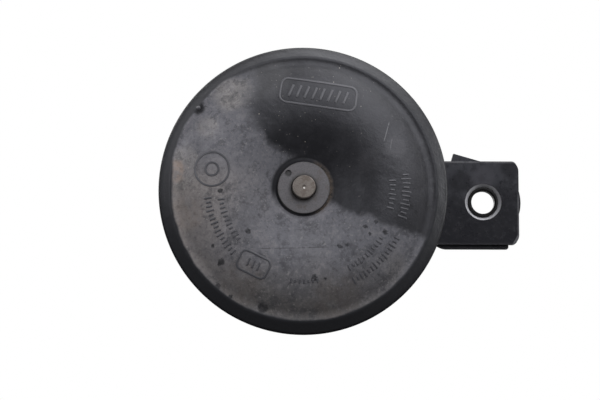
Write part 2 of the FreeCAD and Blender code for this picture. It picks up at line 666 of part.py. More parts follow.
def make_tone_disc():
    """Pressed disc: seat, funnel, ring-shaped dome, gutter, ridge and a rim that turns back."""
    body = new_body("tone_disc")
    rim = size["disc_radius"]
    ridge = rim - size["disc_ridge_inset"]
    revolve(
        body,
        [
            (0, rim_back),
            (rim, rim_back),
            (rim, shoulder_height),
            (ridge, ridge_height),
            (gutter_end, gutter_height, -size["disc_gutter_curve"]),
            (dome_end, dome_end_height, dome_curve),
            (funnel_end, funnel_height),
            (seat_radius, disc_seat),
            (0, disc_seat),
        ],
    )
    round_rings(body, [(seat_radius, disc_seat)], size["disc_seat_bend"])
    ridge_bend = (ridge - gutter_end) * size["disc_ridge_bend_share"]
    round_rings(body, [(ridge, ridge_height)], ridge_bend)
    round_rings(body, [(rim, shoulder_height)], size["disc_rim_bend"])
    solid = body.Tip
    back_face = next(
        f"Face{number}"
        for number, face in enumerate(solid.Shape.Faces, start=1)
        if face.BoundBox.ZMax < rim_back.value + 0.01
    )
    shell = body.newObject("PartDesign::Thickness", "tone_disc_shell")
    shell.Base = (solid, [back_face])
    shell.Reversed = True
    shell.setExpression("Value", size["disc_sheet"].formula)
    finish(shell)
    sketch = new_sketch(body, lift=disc_seat)
    circle(sketch, 0, 0, stud_hole)
    pocket(body, sketch, size["disc_sheet"])


def make_stud_pieces():
    """Everything that the armature's stud carries, apart from the tone disc."""
    body = ring("tone_disc_washer", stud_hole, size["washer_radius"], disc_seat, washer_front)
    sketch = new_sketch(body, lift=washer_front)
    circle(sketch, -size["washer_mark_left"], size["washer_mark_up"], size["washer_mark_radius"])
    pocket(body, sketch, size["washer_mark_depth"])
    bevel_rings(body, [(size["washer_radius"], washer_front)], 0.2)

    stud, plunger, bevel = size["stud_radius"], size["plunger_radius"], size["stud_bevel"]
    pip, pusher = size["centre_pip_radius"], pusher_radius
    body = new_body("armature")
    revolve(
        body,
        [
            (0, plunger_back),
            (plunger, plunger_back),
            (plunger, pusher_back),
            (pusher, pusher_back),
            (pusher, pusher_front),
            (stud, pusher_front),
            (stud, stud_end - bevel),
            (stud - bevel, stud_end),
            (pip, stud_end),
            (0, stud_end - pip),
        ],
    )
    washer_outside = size["clamp_washer_radius"]
    front_washer_front = half_diaphragm + size["clamp_washer_sheet"]
    ring("diaphragm_front_washer", stud_hole, washer_outside, half_diaphragm, front_washer_front)
    ring("diaphragm_rear_washer", stud_hole, washer_outside, pusher_front, -half_diaphragm)
    ring("stud_collar", stud_hole, size["collar_outer_radius"], front_washer_front, disc_seat_back)


def make_diaphragm():
    """Spring steel sheet with one pressed wave."""
    body = new_body("diaphragm")
    inner, outer = wave_inner_radius, wave_outer_radius
    slope, rise, edge = size["wave_slope_width"], size["wave_height"], diaphragm_radius
    back, front = -half_diaphragm, half_diaphragm
    revolve(
        body,
        [
            (stud_hole, back),
            (inner, back),
            (inner + slope, back + rise),
            (outer - slope, back + rise),
            (outer, back),
            (edge, back),
            (edge, front),
            (outer, front),
            (outer - slope, front + rise),
            (inner + slope, front + rise),
            (inner, front),
            (stud_hole, front),
        ],
    )
    flange_holes(body, front)


def flange_holes(body, front):
    """Cuts the holes of the flange rivets, backwards from the front face."""
    sketch = new_sketch(body, lift=front)
    circle(sketch, rivet_circle_radius, 0, rivet_hole)
    circular_pattern(body, pocket(body, sketch, 2), size["rivet_count"])


def make_flange_pieces():
    """Clamp ring, gaskets and the rivets that close the horn."""
    inner, outer = gasket_inner_radius, diaphragm_radius
    flange_holes(ring("front_gasket", inner, outer, half_diaphragm, front_gasket_top), front_gasket_top)
    flange_holes(ring("rear_gasket", inner, outer, flange_front, -half_diaphragm), -half_diaphragm)
    body = ring("clamp_ring", ring_inner_radius, flange_radius, front_gasket_top, ring_front)
    flange_holes(body, ring_front)
    body = new_body("flange_rivets")
    section = rivet_section(
        size["rivet_radius"], size["rivet_head_radius"], size["rivet_head_height"], flange_back, ring_front
    )
    rivet = revolve(body, section, across=rivet_circle_radius)
    circular_pattern(body, rivet, size["rivet_count"])


def make_housing():
    """Pressed steel pot: flange, wide chamber with the breaker, and a deep cup with the coil."""
    body = new_body("housing")
    chamber, cup, thick = chamber_radius, coil_cup_radius, size["housing_sheet"]
    flange = flange_radius
    revolve(
        body,
        [
            (rear_stud_hole, cup_back),
            (cup + thick, cup_back),
            (cup + thick, chamber_back),
            (chamber + thick, chamber_back),
            (chamber + thick, flange_back),
            (flange, flange_back),
            (flange, flange_front),
            (chamber, flange_front),
            (chamber, chamber_floor),
            (cup, chamber_floor),
            (cup, cup_floor),
            (rear_stud_hole, cup_floor),
        ],
    )
    inside, bend = size["press_radius"], size["outer_bend_radius"]
    round_rings(body, [(cup, cup_floor), (chamber, chamber_floor)], inside)
    round_rings(body, [(cup + thick, cup_back), (chamber + thick, chamber_back)], inside + thick)
    round_rings(body, [(cup + thick, chamber_back), (chamber + thick, flange_back)], bend)
    round_rings(body, [(cup, chamber_floor), (chamber, flange_front)], bend + thick)
    flange_holes(body, flange_front)
    sketch = new_sketch(body, lift=chamber_floor)
    circle(sketch, *ear_spot(), coil_rivet_hole)
    circular_pattern(body, pocket(body, sketch, thick), size["coil_ear_count"])
    sketch = new_sketch(body, lift=chamber_floor)
    for side in (-1, 1):
        circle(sketch, size["breaker_rivet_offset"] * side, stack_middle, breaker_rivet_hole)
        circle(sketch, -terminal_reach, size["terminal_offset"] * side, neck_hole)
    circle(sketch, screw_across, screw_up, bush_hole)
    pocket(body, sketch, thick)


def ear_spot():
    """Middle of the rivet in the coil plate's first ear."""
    reach, angle = coil_ear_reach, size["coil_ear_angle"]
    return reach * cosine(angle), reach * sine(angle)


def make_coil_pieces():
    """Fixed core with the rear stud, bobbin, copper winding, and the plate that holds them."""
    body = new_body("pole_core")
    stud, core = size["rear_stud_radius"], size["plunger_radius"]
    revolve(
        body,
        [
            (0, rear_stud_end),
            (stud - 0.7, rear_stud_end),
            (stud, rear_stud_end + 0.7),
            (stud, cup_floor),
            (core, cup_floor),
            (core, core_front),
            (0, core_front),
        ],
    )
    body = new_body("coil_bobbin")
    bore, cheek = bobbin_bore, size["bobbin_cheek"]
    tube = bore + size["bobbin_wall"]
    rear_cheek, front_cheek = rear_cheek_radius, front_cheek_radius
    revolve(
        body,
        [
            (bore, cup_floor),
            (rear_cheek, cup_floor),
            (rear_cheek, cup_floor + cheek),
            (tube, cup_floor + cheek),
            (tube, chamber_floor - cheek),
            (front_cheek, chamber_floor - cheek),
            (front_cheek, chamber_floor),
            (bore, chamber_floor),
        ],
    )
    lead_holes(body, chamber_floor, cheek)
    ring("coil_winding", tube, size["winding_radius"], cup_floor + cheek, chamber_floor - cheek)

    body = new_body("coil_plate")
    sketch = new_sketch(body, lift=chamber_floor)
    circle(sketch, 0, 0, coil_plate_radius)
    circle(sketch, 0, 0, coil_plate_bore)
    pad(body, sketch, size["coil_plate_sheet"])
    sketch = new_sketch(body, lift=chamber_floor, turn=size["coil_ear_angle"])
    root_of_ear, reach, half = size["winding_radius"], coil_ear_reach, size["coil_ear_radius"]
    outline(sketch, [(root_of_ear, -half), (reach, -half, half), (reach, half), (root_of_ear, half)])
    circular_pattern(body, pad(body, sketch, size["coil_plate_sheet"]), size["coil_ear_count"])
    sketch = new_sketch(body, lift=coil_plate_front)
    circle(sketch, *ear_spot(), coil_rivet_hole)
    circular_pattern(body, pocket(body, sketch, size["coil_plate_sheet"]), size["coil_ear_count"])
    lead_holes(body, coil_plate_front, size["coil_plate_sheet"])

    body = new_body("coil_plate_rivets")
    section = rivet_section(
        size["coil_rivet_radius"],
        size["coil_rivet_head_radius"],
        size["coil_rivet_head_height"],
        chamber_back,
        coil_plate_front,
    )
    across, up = ear_spot()
    circular_pattern(body, revolve(body, section, across, up), size["coil_ear_count"])


def lead_holes(body, front, depth):
    sketch = new_sketch(body, lift=front)
    for across, up in (terminal_lead_spot, breaker_lead_spot):
        circle(sketch, across, up, size["lead_hole_radius"])
    pocket(body, sketch, depth)


def stack_rivet_holes(radius):
    offset = size["breaker_rivet_offset"]
    return [(offset, stack_middle, radius), (-offset, stack_middle, radius)]


def stack_block(label, back, thickness):
    """One of the rectangular layers of the breaker's clamp."""
    half = size["stack_half_width"]
    corners = rectangle(-half, half, stack_near, stack_far)
    return plate(label, corners, back, thickness, stack_rivet_holes(breaker_rivet_hole))


def tag_corners(up, length):
    """Corners of a solder tag at the left of the stack, from its top to its bottom."""
    half, narrow = size["stack_half_width"], size["tag_half_width"]
    tip = -half - length
    return [(-half, up + narrow), (tip, up + narrow), (tip, up - narrow), (-half, up - narrow)]


def make_breaker_pieces():
    """Contact breaker: a stack of insulators that clamps the leaf spring and the fixed arm."""
    near, far, half = stack_near, stack_far, size["stack_half_width"]
    leaf, arm = size["leaf_half_width"], size["arm_half_width"]
    stack_block("breaker_base_insulator", chamber_floor, leaf_back - chamber_floor)
    middle_depth = fixed_arm_back - arm_back
    stack_block("breaker_middle_insulator", arm_back, middle_depth)
    stack_block("breaker_top_insulator", fixed_arm_front, size["top_insulator_sheet"])
    stack_block("breaker_clamp_plate", top_insulator_front, size["clamp_plate_sheet"])
    corners = [(leaf, leaf_near), (leaf, near), (half, near), (half, far), (-half, far)]
    corners += tag_corners(leaf_tag_up, size["leaf_tag_length"])
    corners += [(-half, near), (-leaf, near), (-leaf, leaf_near)]
    plate("breaker_leaf_spring", corners, leaf_back, size["leaf_sheet"], stack_rivet_holes(live_rivet_hole))
    corners = rectangle(-arm, arm, arm_near, arm_far)
    body = plate("moving_contact_arm", corners, arm_back, size["arm_sheet"])
    round_uprights(body, [(arm, arm_near), (-arm, arm_near)], 2)
    border = size["wing_border"]
    wing_near, wing_far, wing_tip = screw_up - border, screw_up + border, screw_across + border
    corners = [(arm, fixed_arm_near), (arm, wing_near), (wing_tip, wing_near), (wing_tip, wing_far)]
    corners += [(half, wing_far), (half, far), (-half, far)]
    corners += tag_corners(arm_tag_up, size["arm_tag_length"])
    corners += [(-half, near), (-arm, near), (-arm, fixed_arm_near)]
    holes = stack_rivet_holes(live_rivet_hole)
    body = plate("fixed_contact_arm", corners, fixed_arm_back, size["arm_sheet"], holes)
    round_uprights(body, [(arm, fixed_arm_near), (-arm, fixed_arm_near)], 2)
    for label, back in (("moving_contact_point", arm_front), ("fixed_contact_point", contact_level)):
        body = new_body(label)
        sketch = new_sketch(body, lift=back)
        circle(sketch, 0, point_reach, size["point_radius"])
        pad(body, sketch, size["point_height"])
    body = new_body("breaker_rivets")
    section = rivet_section(
        size["breaker_rivet_radius"],
        size["breaker_rivet_head"],
        size["breaker_rivet_rise"],
        chamber_back,
        clamp_plate_front,
    )
    rivet = revolve(body, section, across=size["breaker_rivet_offset"], up=stack_middle)
    mirrored(body, [rivet], "YZ_Plane")


def make_adjusting_pieces():
    """Screw behind the housing that sets the fixed contact, with its bush, tip and lock nut."""
    across, up = screw_across, screw_up
    shank, head = size["screw_radius"], size["screw_head_radius"]
    head_back = screw_head_front - size["screw_head_height"]
    body = new_body("adjusting_screw")
    revolve(
        body,
        [
            (0, head_back),
            (head - 0.4, head_back),
            (head, head_back + 0.4),
            (head, screw_head_front),
            (shank, screw_head_front),
            (shank, screw_end),
            (0, screw_end),
        ],
        across,
        up,
    )
    sketch = new_sketch(body, lift=head_back, across=across, up=up)
    slot = size["screw_slot_width"] / 2
    outline(sketch, rectangle(-head - 1, head + 1, -slot, slot))
    pocket(body, sketch, size["screw_slot_depth"], upwards=True)
    tip = size["screw_tip_radius"]
    body = new_body("adjusting_screw_tip")
    sketch = new_sketch(body, lift=screw_end)
    circle(sketch, across, up, tip)
    pad(body, sketch, size["screw_tip_length"])
    body = new_body("adjusting_screw_bush")
    neck, bush, bush_front = size["bush_neck_radius"], size["bush_radius"], chamber_floor + size["bush_height"]
    revolve(
        body,
        [
            (screw_hole, chamber_back),
            (neck, chamber_back),
            (neck, chamber_floor),
            (bush, chamber_floor),
            (bush, bush_front),
            (screw_hole, bush_front),
        ],
        across,
        up,
    )
    flats = size["lock_nut_flats"]
    holes = [(across, up, screw_hole)]
    corners = hexagon(flats, across, up)
    body = plate("adjusting_lock_nut", corners, lock_nut_back, size["lock_nut_height"], holes)
    trim_hexagon(body, flats, lock_nut_back, chamber_back, across, up, ends=("back",))


def terminal_spots(radius):
    reach, offset = terminal_reach, size["terminal_offset"]
    return [(-reach, offset, radius), (-reach, -offset, radius)]


def make_terminal_pieces():
    """Two blade terminals on an insulating carrier behind the housing."""
    half = size["terminal_offset"] + size["carrier_side_border"]
    near = terminal_reach - size["carrier_near_border"]
    far = terminal_reach + size["carrier_far_border"]
    corners = rectangle(-far, -near, -half, half)
    body = plate("terminal_carrier", corners, carrier_back, size["carrier_sheet"])
    round_uprights(body, corners, size["carrier_corner"])
    sketch = new_sketch(body, lift=chamber_back)
    for spot in terminal_spots(size["carrier_neck_radius"]):
        circle(sketch, *spot)
    pad(body, sketch, size["housing_sheet"])
    rib, rise = size["carrier_rib_half_width"], size["carrier_rib_height"]
    sketch = new_sketch(body, lift=carrier_back - rise)
    inset = size["carrier_rib_inset"]
    outline(sketch, rectangle(inset - far, -near - inset, -rib, rib))
    pad(body, sketch, rise)
    sketch = new_sketch(body, lift=chamber_floor)
    for spot in terminal_spots(terminal_rivet_hole):
        circle(sketch, *spot)
    pocket(body, sketch, size["housing_sheet"] + size["carrier_sheet"])

    border = size["insulator_border"]
    half = size["terminal_offset"] + border
    corners = rectangle(-terminal_reach - border, border - terminal_reach, -half, half)
    holes = terminal_spots(terminal_rivet_hole)
    plate("terminal_inner_insulator", corners, chamber_floor, size["inner_insulator_sheet"], holes)

    body = new_body("blade_terminals")
    offset, wide, thick = size["terminal_offset"], size["blade_half_width"], size["blade_sheet"]
    blade_out = -blade_reach
    foot_back = carrier_back - thick
    tip = carrier_back - size["blade_height"]
    bevel = size["blade_bevel"]
    sketch = new_sketch(body, "XY_Plane", lift=foot_back)
    foot_near = size["terminal_rivet_head"] + size["foot_border"] - terminal_reach
    outline(sketch, rectangle(blade_out, foot_near, offset - wide, offset + wide))
    circle(sketch, -terminal_reach, offset, terminal_rivet_hole)
    foot = pad(body, sketch, thick)
    sketch = new_sketch(body, "YZ_Plane", lift=blade_out)
    outline(
        sketch,
        [
            (offset - wide, carrier_back),
            (offset - wide, tip + bevel),
            (offset - wide + bevel, tip),
            (offset + wide - bevel, tip),
            (offset + wide, tip + bevel),
            (offset + wide, carrier_back),
        ],
    )
    circle(sketch, offset, tip + size["blade_hole_drop"], size["blade_hole_radius"])
    blade = pad(body, sketch, thick)
    mirrored(body, [foot, blade], "XZ_Plane")

    body = new_body("terminal_rivets")
    section = rivet_section(
        size["terminal_rivet_radius"],
        size["terminal_rivet_head"],
        size["terminal_rivet_rise"],
        foot_back,
        inner_insulator_front,
    )
    rivet = revolve(body, section, across=-terminal_reach, up=offset)
    mirrored(body, [rivet], "XZ_Plane")


def wire(label, start, start_height, level, end, end_height):
    """A wire that rises or drops to a level, crosses over, and rises or drops to its end."""
    body = new_body(label)
    run, rise = size_of(end[0]) - start[0], size_of(end[1]) - start[1]
    distance = root(run * run + rise * rise)
    bend = size["lead_bend"]
    first = 1 if start_height.value < level.value else -1
    last = 1 if end_height.value > level.value else -1
    path = new_sketch(body, "XZ_Plane", across=start[0], lift=-size_of(start[1]), swing=heading(run, rise))
    spots = [
        (0, start_height),
        (0, level - bend * first),
        (bend, level),
        (distance - bend, level),
        (distance, level + bend * last),
        (distance, end_height),
    ]
    corners = [Vector(size_of(x).value, size_of(y).value, 0) for x, y in spots]
    path.addGeometry(Part.LineSegment(corners[0], corners[1]))
    path.addGeometry(arc_between(corners[1], corners[2], -bend.value * first))
    path.addGeometry(Part.LineSegment(corners[2], corners[3]))
    path.addGeometry(arc_between(corners[3], corners[4], bend.value * last))
    path.addGeometry(Part.LineSegment(corners[4], corners[5]))
    first_ends = (2, 1) if first > 0 else (1, 2)
    last_ends = (1, 2) if last > 0 else (2, 1)
    ends = [(0, 1, 2), (1, *first_ends), (2, 1, 2), (3, *last_ends), (4, 1, 2)]
    for (edge, _, leaving), (following, entering, _) in zip(ends, ends[1:]):
        path.addConstraint(Sketcher.Constraint("Coincident", edge, leaving, following, entering))
    for (edge, entering, _), (x, y) in zip(ends, spots):
        pin_point(path, edge, entering, x, y)
    pin_point(path, 4, 2, *spots[5])
    constrain(path, "Radius", 1, bend)
    constrain(path, "Radius", 3, bend)
    round_section = new_sketch(body, across=start[0], up=start[1], lift=start_height)
    circle(round_section, 0, 0, size["lead_radius"])
    pipe = body.newObject("PartDesign::AdditivePipe", label + "_pipe")
    pipe.Profile = round_section
    pipe.Spine = (path, [])
    finish(pipe)


def make_wires():
    reach, offset = terminal_reach, size["terminal_offset"]
    on_rivet = inner_insulator_front + size["terminal_rivet_rise"]
    wire(
        "coil_lead_to_terminal",
        terminal_lead_spot,
        lead_start,
        chamber_floor + size["terminal_lead_level"],
        (-reach, -offset),
        on_rivet,
    )
    wire(
        "coil_lead_to_breaker",
        breaker_lead_spot,
        lead_start,
        chamber_floor + size["breaker_lead_level"],
        (leaf_wire_across, leaf_tag_up),
        leaf_back,
    )
    wire(
        "breaker_lead_to_terminal",
        (arm_wire_across, arm_tag_up),
        fixed_arm_back,
        chamber_floor + size["cross_lead_level"],
        (-reach, offset),
        on_rivet,
    )


def make_bracket_pieces():
    """Bracket of three steel plates that one hollow rivet holds together, and its nut and washers."""
    reach, half = size["bracket_reach"], size["front_plate_half_width"]
    end = reach + size["front_plate_end"]
    along, across = size["corner_cut_along"], size["corner_cut_across"]
    stud, hole = (0, 0, rear_stud_hole), (reach, 0, eyelet_hole)
    lower, upper = -half - size["front_plate_drop"], half - size["front_plate_drop"]
    corners = [
        (0, lower),
        (end - along, lower),
        (end, lower + across),
        (end, upper - across),
        (end - along, upper),
        (0, upper, half),
    ]
    body = plate("bracket_front_plate", corners, front_plate_back, size["front_plate_sheet"], [stud, hole])
    round_uprights(body, corners[1:5], size["corner_soften"])
    depth = size["eyelet_sink"] + size["eyelet_flare"]
    cone = [(eyelet_hole, cup_back - depth), (eyelet_hole + depth, cup_back), (eyelet_hole, cup_back)]
    revolve(body, cone, across=reach, cut=True)

    neck, wide = size["rear_leaf_neck"], reach - size["rear_leaf_wide"]
    taper, end = wide - size["rear_leaf_taper"], reach + size["rear_leaf_end"]
    corners = [
        (0, -neck),
        (taper, -neck),
        (wide, -size["rear_leaf_drop"]),
        (end, -size["rear_leaf_drop"]),
        (end, size["rear_leaf_rise"]),
        (taper, size["rear_leaf_rise"]),
        (taper - size["rear_leaf_slope"], neck),
        (0, neck, neck),
    ]
    plate("bracket_rear_leaf", corners, rear_leaf_back, size["rear_leaf_sheet"], [stud, hole])

    body = new_body("bracket_end_plate")
    sketch = new_sketch(body, across=reach, lift=end_plate_back, turn=-size["end_plate_turn"])
    half, tail = size["end_plate_radius"], size["end_plate_tail"]
    centre = size["end_plate_end"] - half
    outline(sketch, [(-tail, -half), (centre, -half, half), (centre, half), (-tail, half)])
    circle(sketch, 0, 0, eyelet_hole)
    pad(body, sketch, size["end_plate_sheet"])
    cone = [
        (eyelet_hole, end_plate_back),
        (eyelet_hole + depth, end_plate_back),
        (eyelet_hole, end_plate_back + depth),
    ]
    revolve(body, cone, across=reach, cut=True)

    body = new_body("bracket_eyelet")
    bore, outer, flare = size["bolt_hole_radius"], eyelet_radius, size["eyelet_flare"]
    back, front, mouth = end_plate_back + size["eyelet_sink"], cup_back - size["eyelet_sink"], size["eyelet_mouth"]
    revolve(
        body,
        [
            (bore + mouth, back),
            (outer + flare, back),
            (outer, back + flare),
            (outer, front - flare),
            (outer + flare, front),
            (bore + mouth, front),
            (bore, front - mouth),
            (bore, back + mouth),
        ],
        across=reach,
    )
    ring("bracket_washer", rear_stud_hole, size["plain_washer_radius"], plain_washer_back, rear_leaf_back)
    outer = size["spring_washer_radius"]
    body = ring("bracket_spring_washer", rear_stud_hole, outer, spring_washer_back, plain_washer_back)
    sketch = new_sketch(body, lift=plain_washer_back)
    slit = size["spring_washer_slit"] / 2
    outline(sketch, [(-slit - 0.6, 0), (slit - 0.6, 0), (slit + 0.6, outer + 1), (0.6 - slit, outer + 1)])
    pocket(body, sketch, size["spring_washer_sheet"])
    flats = size["nut_flats"]
    holes = [(0, 0, rear_stud_hole)]
    body = plate("bracket_nut", hexagon(flats), nut_back, size["nut_height"], holes)
    trim_hexagon(body, flats, nut_back, spring_washer_back)


def check_and_write():
    """Stops at any piece that did not come out right, then writes each one."""
    os.makedirs("parts", exist_ok=True)
    doc.recompute()
    for thing in doc.Objects:
        if "Invalid" in thing.State or "Error" in thing.State:
            raise RuntimeError(f"{thing.Label}: {thing.State}")
    bodies = [thing for thing in doc.Objects if thing.TypeId == "PartDesign::Body"]
    for body in bodies:
        if body.Shape.isNull() or not body.Shape.isValid() or body.Shape.Volume <= 0:
            raise RuntimeError(f"{body.Label}: its shape is not a sound solid")
        body.Shape.exportStep(f"parts/{body.Label}.step")
    print(len(bodies), "pieces written")


make_tone_disc()
make_stud_pieces()
make_diaphragm()
make_flange_pieces()
make_housing()
make_coil_pieces()
make_breaker_pieces()
make_adjusting_pieces()
make_terminal_pieces()
make_wires()
make_bracket_pieces()
check_and_write()
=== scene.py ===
import math

import bmesh
import bpy
from bpy.props import FloatProperty, FloatVectorProperty, IntProperty, PointerProperty
from mathutils import Matrix, Vector
from mathutils.bvhtree import BVHTree


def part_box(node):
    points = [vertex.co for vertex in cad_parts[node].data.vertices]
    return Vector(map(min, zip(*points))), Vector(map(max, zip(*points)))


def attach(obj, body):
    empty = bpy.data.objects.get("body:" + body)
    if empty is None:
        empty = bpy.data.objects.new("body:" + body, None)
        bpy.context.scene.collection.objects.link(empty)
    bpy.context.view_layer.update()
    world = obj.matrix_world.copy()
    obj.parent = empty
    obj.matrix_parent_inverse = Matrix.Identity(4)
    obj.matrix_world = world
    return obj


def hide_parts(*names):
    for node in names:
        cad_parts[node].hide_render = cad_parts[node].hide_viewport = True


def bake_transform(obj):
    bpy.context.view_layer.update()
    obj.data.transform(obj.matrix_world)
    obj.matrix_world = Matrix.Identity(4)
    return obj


# The looks of a car's disc horn on its bracket. Pieces are drawn in millimetres round the horn's own
# axis: x runs out along the bracket, y runs up, and z comes out of the front of the tone disc, with
# z = 0 in the middle of the diaphragm. HORN takes them to the part's frame.

bl_info = {
    "name": "Car Horn",
    "version": (1, 0, 0),
    "blender": (4, 5, 0),
    "location": "3D View > Sidebar > Horn",
    "description": "Builds the looks of a disc horn round its packed solids",
    "category": "Object",
}

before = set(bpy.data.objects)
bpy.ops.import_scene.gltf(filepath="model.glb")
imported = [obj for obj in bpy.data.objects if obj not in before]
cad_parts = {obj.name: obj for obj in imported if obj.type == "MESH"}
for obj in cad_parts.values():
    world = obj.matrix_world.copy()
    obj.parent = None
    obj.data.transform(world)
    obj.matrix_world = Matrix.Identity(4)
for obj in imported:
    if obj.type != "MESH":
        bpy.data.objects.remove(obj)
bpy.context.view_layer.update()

MILLIMETRES = 1000  # in a metre
front_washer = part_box("diaphragm_front_washer")
rear_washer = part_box("diaphragm_rear_washer")
AXIS_X = (front_washer[0].x + front_washer[1].x) / 2
DIAPHRAGM_Y = (front_washer[1].y + rear_washer[0].y) / 2
HORN = (
    Matrix.Translation((AXIS_X, DIAPHRAGM_Y, 0))
    @ Matrix.Rotation(math.radians(90), 4, "X")
    @ Matrix.Scale(1 / MILLIMETRES, 4)
)

# Sizes in millimetres that several pieces share
BOLT_HOLE = -AXIS_X * MILLIMETRES  # how far out its middle lies
EYELET = 5.25  # radius of the plates' holes for the hollow rivet
STUD_HOLE = 4.05  # radius of the plates' holes for a stud
WASHER_HOLE = 4.1
SHEET = 1.2  # thickness of the pressed disc and housing
FLANGE_WIDTH = 9.0  # from the housing's chamber out to its edge
RIVET_SPREAD = 6.4  # how far the terminals' rivets lie above and below the middle
SUNK = 0.4  # how deep the raised marks start in the disc
TOUCH = 1e-4  # points nearer than this are one
LEVEL = 1e-3  # points nearer than this to a height or a radius lie on it

# How finely shapes are drawn and shaded
ARC_DEGREES, ARC_LENGTH = 9, 0.8  # most that one step of an arc covers
HOUSING_STEPS = 160  # faces round the housing
THREAD_STEPS = 28  # in one turn
CLEAR_ANGLE = 0.9  # radians between faces whose edge is worth rounding
SHARP_ANGLE = math.radians(38)  # between faces whose edge is shaded sharp


def span(node):
    """Lowest and highest corner of a CAD node, in the horn's millimetres."""
    corners = [HORN.inverted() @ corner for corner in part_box(node)]
    low = Vector(min(corner[i] for corner in corners) for i in range(3))
    high = Vector(max(corner[i] for corner in corners) for i in range(3))
    return low, high


def polar(reach, degrees):
    """A place round the axis, seen from the front, counted from the bracket's side."""
    angle = math.radians(degrees)
    return reach * math.cos(angle), reach * math.sin(angle)


# Working on a mesh

def everything(mesh):
    return mesh.verts[:] + mesh.edges[:] + mesh.faces[:]


def points_among(items):
    return [item for item in items if isinstance(item, bmesh.types.BMVert)]


def open_edges(mesh):
    return [edge for edge in mesh.edges if edge.is_boundary]


def face_outwards(mesh):
    bmesh.ops.recalc_face_normals(mesh, faces=mesh.faces[:])


def close_holes(mesh):
    bmesh.ops.holes_fill(mesh, edges=open_edges(mesh), sides=0)
    face_outwards(mesh)


def shift(mesh, across=0.0, up=0.0, forward=0.0, verts=None):
    bmesh.ops.translate(mesh, vec=(across, up, forward), verts=verts or mesh.verts[:])


def turn_about(mesh, spot, angle):
    """Turns a flat piece and moves it from the axis to its spot."""
    place = Matrix.Translation((*spot, 0)) @ Matrix.Rotation(angle, 4, "Z")
    bmesh.ops.transform(mesh, matrix=place, verts=mesh.verts[:])


def thicken(mesh, height):
    """Extrudes a flat mesh forward into a closed one."""
    raised = bmesh.ops.extrude_face_region(mesh, geom=mesh.faces[:])["geom"]
    shift(mesh, forward=height, verts=points_among(raised))
    face_outwards(mesh)


def cut_along(mesh, place, across):
    """Cuts a mesh along a plane and keeps both sides."""
    bmesh.ops.bisect_plane(mesh, geom=everything(mesh), plane_co=place, plane_no=across)


def draw_circle(mesh, across, up, height, radius, segments):
    place = Matrix.Translation((across, up, height))
    bmesh.ops.create_circle(mesh, cap_ends=False, segments=segments, radius=radius, matrix=place)


def fill_flat(mesh, edges, normal=(0, 0, 1)):
    bmesh.ops.triangle_fill(mesh, use_beauty=True, edges=edges, normal=normal)


def spin(mesh, geom, angle, steps, rise=0.0, merge=False, centre=(0, 0, 0), axis=(0, 0, 1)):
    return bmesh.ops.spin(
        mesh,
        geom=geom,
        cent=centre,
        axis=axis,
        dvec=(0, 0, rise),
        angle=angle,
        steps=steps,
        use_merge=merge,
        use_duplicate=False,
    )


def bevel(mesh, geom, width, segments=2, affect="EDGES"):
    bmesh.ops.bevel(
        mesh,
        geom=geom,
        offset=width,
        offset_type="OFFSET",
        affect=affect,
        segments=segments,
        profile=0.5,
        material=-1,
        clamp_overlap=affect == "EDGES",
    )


def sharp_edges(mesh, heights):
    """Edges at the given heights between faces that meet at a clear angle."""
    found = []
    for edge in mesh.edges:
        if not edge.is_manifold or edge.calc_face_angle() < CLEAR_ANGLE:
            continue
        level = [vert.co.z for vert in edge.verts]
        if any(max(abs(z - height) for z in level) < TOUCH for height in heights):
            found.append(edge)
    return found


def ring_edges(mesh, radius, height, at=(0, 0)):
    """Edges that lie on a circle round the axis or round a hole."""
    found = []
    for edge in mesh.edges:
        reach = [math.hypot(vert.co.x - at[0], vert.co.y - at[1]) for vert in edge.verts]
        level = [abs(vert.co.z - height) for vert in edge.verts]
        if max(level) < LEVEL and max(abs(r - radius) for r in reach) < LEVEL:
            found.append(edge)
    return found


def outer_edges(mesh, heights, middle, reach):
    """Sharp edges that come further out from a middle than a reach."""
    return [
        edge
        for edge in sharp_edges(mesh, heights)
        if max((vert.co.xy - Vector(middle)).length for vert in edge.verts) > reach
    ]


def add_mesh(whole, part):
    """Puts a drawn part into a piece that has several."""
    data = bpy.data.meshes.new("part")
    part.to_mesh(data)
    part.free()
    whole.from_mesh(data)
    bpy.data.meshes.remove(data)


# Drawing sections and plates

def bend_corner(before, corner, after, radius):
    """Start, end and centre of the arc that rounds a corner of a section."""
    inward = (before - corner).normalized()
    outward = (after - corner).normalized()
    half = inward.angle(outward) / 2
    reach = radius / math.tan(half)
    centre = corner + (inward + outward).normalized() * (radius / math.sin(half))
    return corner + inward * reach, corner + outward * reach, centre


def arc_centre(start, end, radius):
    """Centre of an arc that turns left for a positive radius and right for a negative one."""
    chord = end - start
    left = Vector((-chord.y, chord.x)).normalized()
    height = math.sqrt(max(radius * radius - chord.length_squared / 4, 0))
    return (start + end) / 2 + left * math.copysign(height, radius)


def draw_arc(mesh, tip, centre, end):
    """Spins the last point of a section round the centre of its arc."""
    start = Vector((tip.co.x, tip.co.z)) - centre
    turn = start.angle_signed(end - centre)
    by_angle = int(abs(math.degrees(turn)) / ARC_DEGREES)
    by_length = int(abs(turn) * start.length / ARC_LENGTH)
    steps = max(3, by_angle, by_length)
    spun = spin(mesh, [tip], turn, steps, centre=(centre.x, 0, centre.y), axis=(0, 1, 0))
    return points_among(spun["geom_last"])[0]


def draw_line(mesh, tip, end):
    """Takes a section on to a point in a straight line."""
    if (Vector((tip.co.x, tip.co.z)) - end).length < 1e-5:
        return tip
    tip = bmesh.ops.extrude_vert_indiv(mesh, verts=[tip])["verts"][0]
    tip.co = (end.x, 0, end.y)
    return tip


